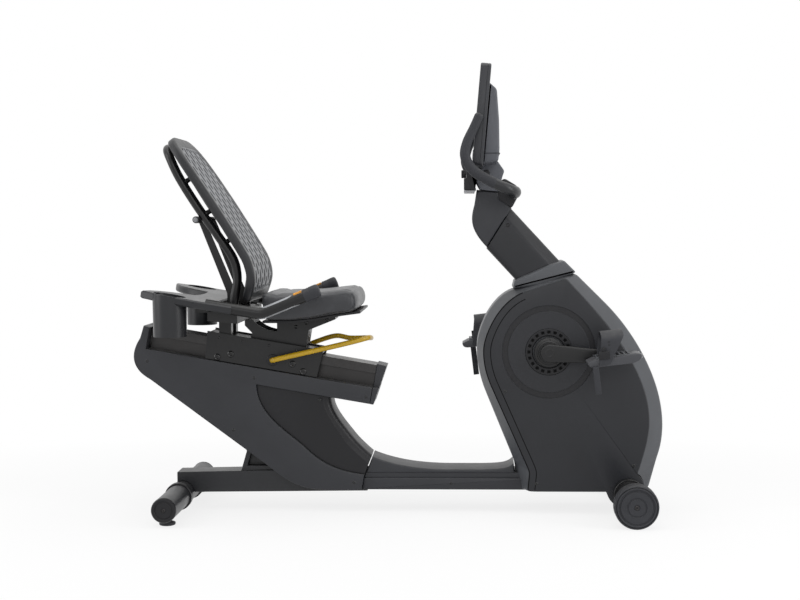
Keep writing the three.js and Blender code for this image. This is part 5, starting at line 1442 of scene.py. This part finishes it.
def onBack(y, z, depth):
    # a point at this height on the bent rear face, moved forwards along the face's normal
    x = np.interp(z, backCurve[:, 1], backCurve[:, 0])
    nx = np.interp(z, backCurve[:, 1], backNormal[:, 0])
    nz = np.interp(z, backCurve[:, 1], backNormal[:, 1])
    return np.stack([x + nx * depth, y, z + nz * depth], -1)


def backOutline():
    w, low, high, corner = back["half"], back["low"], back["high"], back["corner"]
    return ring(
        (45 - w, low), (w - 45, low), (w - 12, low, w - 2, low + 30, w, low + 90), (w, high - corner),
        (w, high - 20, w - 50, high, w - corner, high), (corner - w, high),
        (50 - w, high, -w, high - 20, -w, high - corner), (-w, low + 90),
        (2 - w, low + 30, 12 - w, low, 45 - w, low),
        count=20)


def densified(points, most=12.0):
    # long straight runs get extra points, so that they can follow a bend
    after = np.roll(points, -1, 0)
    parts = np.maximum(np.ceil(np.linalg.norm(after - points, axis=1) / most).astype(int), 1)
    index = np.repeat(np.arange(len(points)), parts)
    step = np.concatenate([np.arange(n) / n for n in parts])[:, None]
    return points[index] * (1 - step) + after[index] * step


def makeBackrest():
    v = back
    outline = densified(backOutline())
    thick, rim = v["thick"], v["rim"]
    section = [(rim, 4), (rim - 3, 1), (rim - 8, 0), (6, 0), (2.5, 1), (0.6, 3), (0, 6), (0, thick - 7),
               (0.8, thick - 3.4), (3, thick - 1), (7, thick), (rim - 6, thick), (rim - 2.5, thick - 0.8),
               (rim, thick - 3)]
    rows = [onBack(*inset(outline, d).T, h) for d, h in section]
    piece("backrest_rim", skin(rows, loop=True), "backRim", "seat", ("backrest",), sharp=50)
    # the panel is tiles, each a slot with rounded ends in a rectangle; columns are staggered by half a tile
    inner = inset(outline, rim - 4)
    low, high = inner[:, 1].min(), inner[:, 1].max()
    columns = v["columns"]
    right = inner[inner[:, 0] > 0]
    right = right[np.argsort(right[:, 1])]
    widthAt = lambda z: np.interp(z, right[:, 1], right[:, 0])
    rowCount = int(round((high - low) / v["pitch"]))
    pitch = (high - low) / rowCount
    wide = 2.0 / columns
    centres = []
    for column in range(columns):
        a = -1 + wide * (column + 0.5)
        if column % 2:
            centres += [(a, low + pitch * (k + 0.5), pitch, 1.0) for k in range(rowCount)]
        else:
            centres += [(a, low + pitch * 0.25, pitch / 2, 0.25), (a, high - pitch * 0.25, pitch / 2, 0.25)]
            centres += [(a, low + pitch * (k + 1.0), pitch, 1.0) for k in range(rowCount - 1)]
    centres = np.array(centres)
    count = 20
    angle = np.linspace(0, 2 * math.pi, count, endpoint=False) + math.pi / 4
    square = np.stack([np.cos(angle), np.sin(angle)], 1)
    square = square / np.abs(square).max(1, keepdims=True)
    oval = np.stack([np.cos(angle), np.sin(angle)], 1)
    halfWide, halfLong = v["holeWide"] / 2, v["holeLong"] / 2
    bead = thick - 1.0
    # stations: (share of the way from the slot's edge to the tile's edge, depth)
    stations = [(1, bead - 0.5), (0.6, bead), (0.12, bead), (0.0, bead - 0.9),
                (0.0, thick - v["panel"] + 0.6), (0.1, thick - v["panel"]), (1, thick - v["panel"])]
    z0 = centres[:, 1][:, None]
    tileLong = centres[:, 2][:, None] / 2
    stretch = np.clip(centres[:, 3][:, None], 0.3, 1)
    slotZ = z0 + np.sign(oval[:, 1]) * np.maximum(halfLong * stretch - halfWide, 0) + oval[:,
            1] * halfWide * np.sqrt(stretch)
    edgeZ = z0 + square[:, 1] * tileLong
    a0 = centres[:, 0][:, None]
    edgeA = a0 + square[:, 0] * wide / 2
    rows = []
    for share, depth in stations:
        z = slotZ + (edgeZ - slotZ) * share
        spread = widthAt(z)
        slotY = a0 * spread + oval[:, 0] * halfWide
        y = slotY + (edgeA * spread - slotY) * share
        rows.append(onBack(y, z, depth))
    rows = np.array(rows)
    shells = []
    faces = gridFaces(len(stations), count, True).tolist()
    for tile in range(len(centres)):
        shells.append((rows[:, tile].reshape(-1, 3), faces))
    panel = piece("backrest_panel", shells, "backPanel", "seat", sharp=48)
    # a near-black sheet just inside the tiles, painted shade that fills the open slots: closed four-point
    # rows, one above another
    levels = np.linspace(low - 1, high + 1, 60)
    reach = widthAt(levels) + 1
    near, far = thick - 1.9, thick - 4.4
    corners = [onBack(side * reach, levels, depth) for side,
               depth in ((-1, near), (1, near), (1, far), (-1, far))]
    piece("backrest_slot_shade", skin(np.stack(corners, 1)), "deepBlack", "seat", sharp=40)
    print("backrest tiles:", len(centres), "faces:", len(panel.data.polygons))


tubeSide = [
    (-469, -120, 601), (-462, -120, 640), (-455, -120, 690), (-466, -120, 745), (-508, -120, 810),
    (-566, -120, 893),
    (-618, -120, 977), (-646, -114, 1035), (-661, -78, 1062)]


def makeBackTube():
    path = tubeSide + [(-664, 0, 1066)] + [(x, -y, z) for x, y, z in tubeSide[::-1]]
    shells = [tube(through(path), 13, 24, 150, 0.6)]
    face = back["thick"] - back["panel"] - 0.3
    along = unit(np.array([(-441 + 613), (758 - 1025)], float))
    across = np.array([-along[1], along[0]])
    for x, z in ((-609, 962), (-550, 871), (-494, 788)):
        reach = float(np.dot(np.array([-613, 1025]) - np.array([x, z]), across)) + face
        for y in (-120, 120):
            profile = [(0, 0), (8, 0), (8, 13.5), (7, 15), (7, reach - 2), (9.5, reach - 1), (9.5, reach),
                       (0, reach)]
            shells.append(turnedAlong(profile, (x, y, z), (across[0], 0, across[1]), 20))
    piece("back_tube_bar", shells, "blackPaint", "seat", ("back_tube",), sharp=50)
    knob = turned([(0, -138), (5, -137.6), (7, -136), (7.6, -134), (7, -131.8), (4, -131), (0, -131)],
                  (-571, 0, 858))
    piece("brace_knobs", both(knob), "paleGrey", "seat")


makeBackrest()
makeBackTube()
print("backrest made")

# tray, handles and grips
refine("tray", "tray", 1.8, 3)

handle = {"radius": 16}
handleHalf = [(-150, -262, 110), (-60, -262, 110), (0, -262, 111), (22, -262, 118), (90, -262, 160),
              (152, -262, 199)]


def stripShell(curve, start, end, middle, spread, radius, thick):
    # a plate that hugs the bar: an arc of the tube between two distances along it
    stations = np.linspace(start, end, 30)
    path = alongCurve(curve, stations)
    tangent = unit(np.gradient(path, axis=0))
    side = np.array([0.0, -1.0, 0.0])
    up = unit(np.cross(np.broadcast_to(side, tangent.shape), tangent)) * -1
    up = up * np.sign(up[:, 2:3])
    ease = np.sqrt(np.clip(1 - np.abs(np.linspace(-1, 1, 30)) ** 6, 0.02, 1))
    angle = np.linspace(-1, 1, 12)[None, :] * spread * ease[:, None] + middle
    arc = lambda r: path[:, None] + r * (np.sin(angle)[..., None] * up[:, None] + np.cos(angle)[...,
            None] * side)
    return skin(np.concatenate([arc(radius + thick), arc(radius - 0.5)[:, ::-1]], 1))


def makeHandles():
    v = handle
    local = through(handleHalf, 0.35, 40)
    curve = onRail(local)
    end = np.array([62, 0, 39]) / math.hypot(62, 39)
    tip = onRail([(152, -262, 199)])[0]
    ahead = onRail([(152 + end[0], -262, 199 + end[2])])[0] - tip
    bar = tube(curve, v["radius"], 28, 90, 0.8)
    length = curveLength(curve)
    rise = np.cross(ahead, np.array([0, 1.0, 0]))
    rise = rise * np.sign(rise[2])
    # the button's pocket, a block in the bar's own frame at its upper end
    corners = []
    for a in (-64.3, -39.7):
        for y in (-8.3, 8.3):
            for h in (7.7, 25):
                corners.append(tip + ahead * a + np.array([0, y, 0]) + rise * h)
    corners = np.array(corners)
    knife = (corners, [[0, 1, 3, 2], [4, 6, 7, 5], [0, 4, 5, 1], [2, 3, 7, 6], [0, 2, 6, 4], [1, 5, 7, 3]])
    above = stripShell(curve, length * 0.50, length * 0.79, math.pi / 2, 0.75, v["radius"], 0.7)
    below = stripShell(curve, length * 0.45, length * 0.82, -math.pi / 2, 0.62, v["radius"], 0.7)
    profile = [(16.3, -38), (18, -38), (19.2, -36.5), (19.5, -33), (18.6, -31), (19.4, -28), (18.6, -26),
               (19.4, -23),
               (18.6, -21), (19.5, -17), (19.5, 0), (18.6, 4), (16, 7), (10, 8), (0, 8), (0, 0.5),
               (16.3, 0.5)]
    grip = turnedAlong(profile, tip, ahead, 40)
    for word, turn in bothSides:
        piece("handle_" + word + "_bar", turn(bar), "blackPaint", "seat", ("handle_" + word,),
              sharp=50,
              cutters=[turn(knife)])
        # the steel plates take a pale colour that stands for their reflection: painted reflection
        piece("pulse_plates_" + word, [turn(above), turn(below)], "pulsePlatePaintedReflection", "seat",
              sharp=50)
        piece("grip_" + word + "_sleeve", turn(grip), "rubber", "seat", ("grip_" + word,),
              sharp=40)
        refine("grip_button_" + word, "yellowPlastic", 1.6, 3)


makeHandles()
print("handles made")
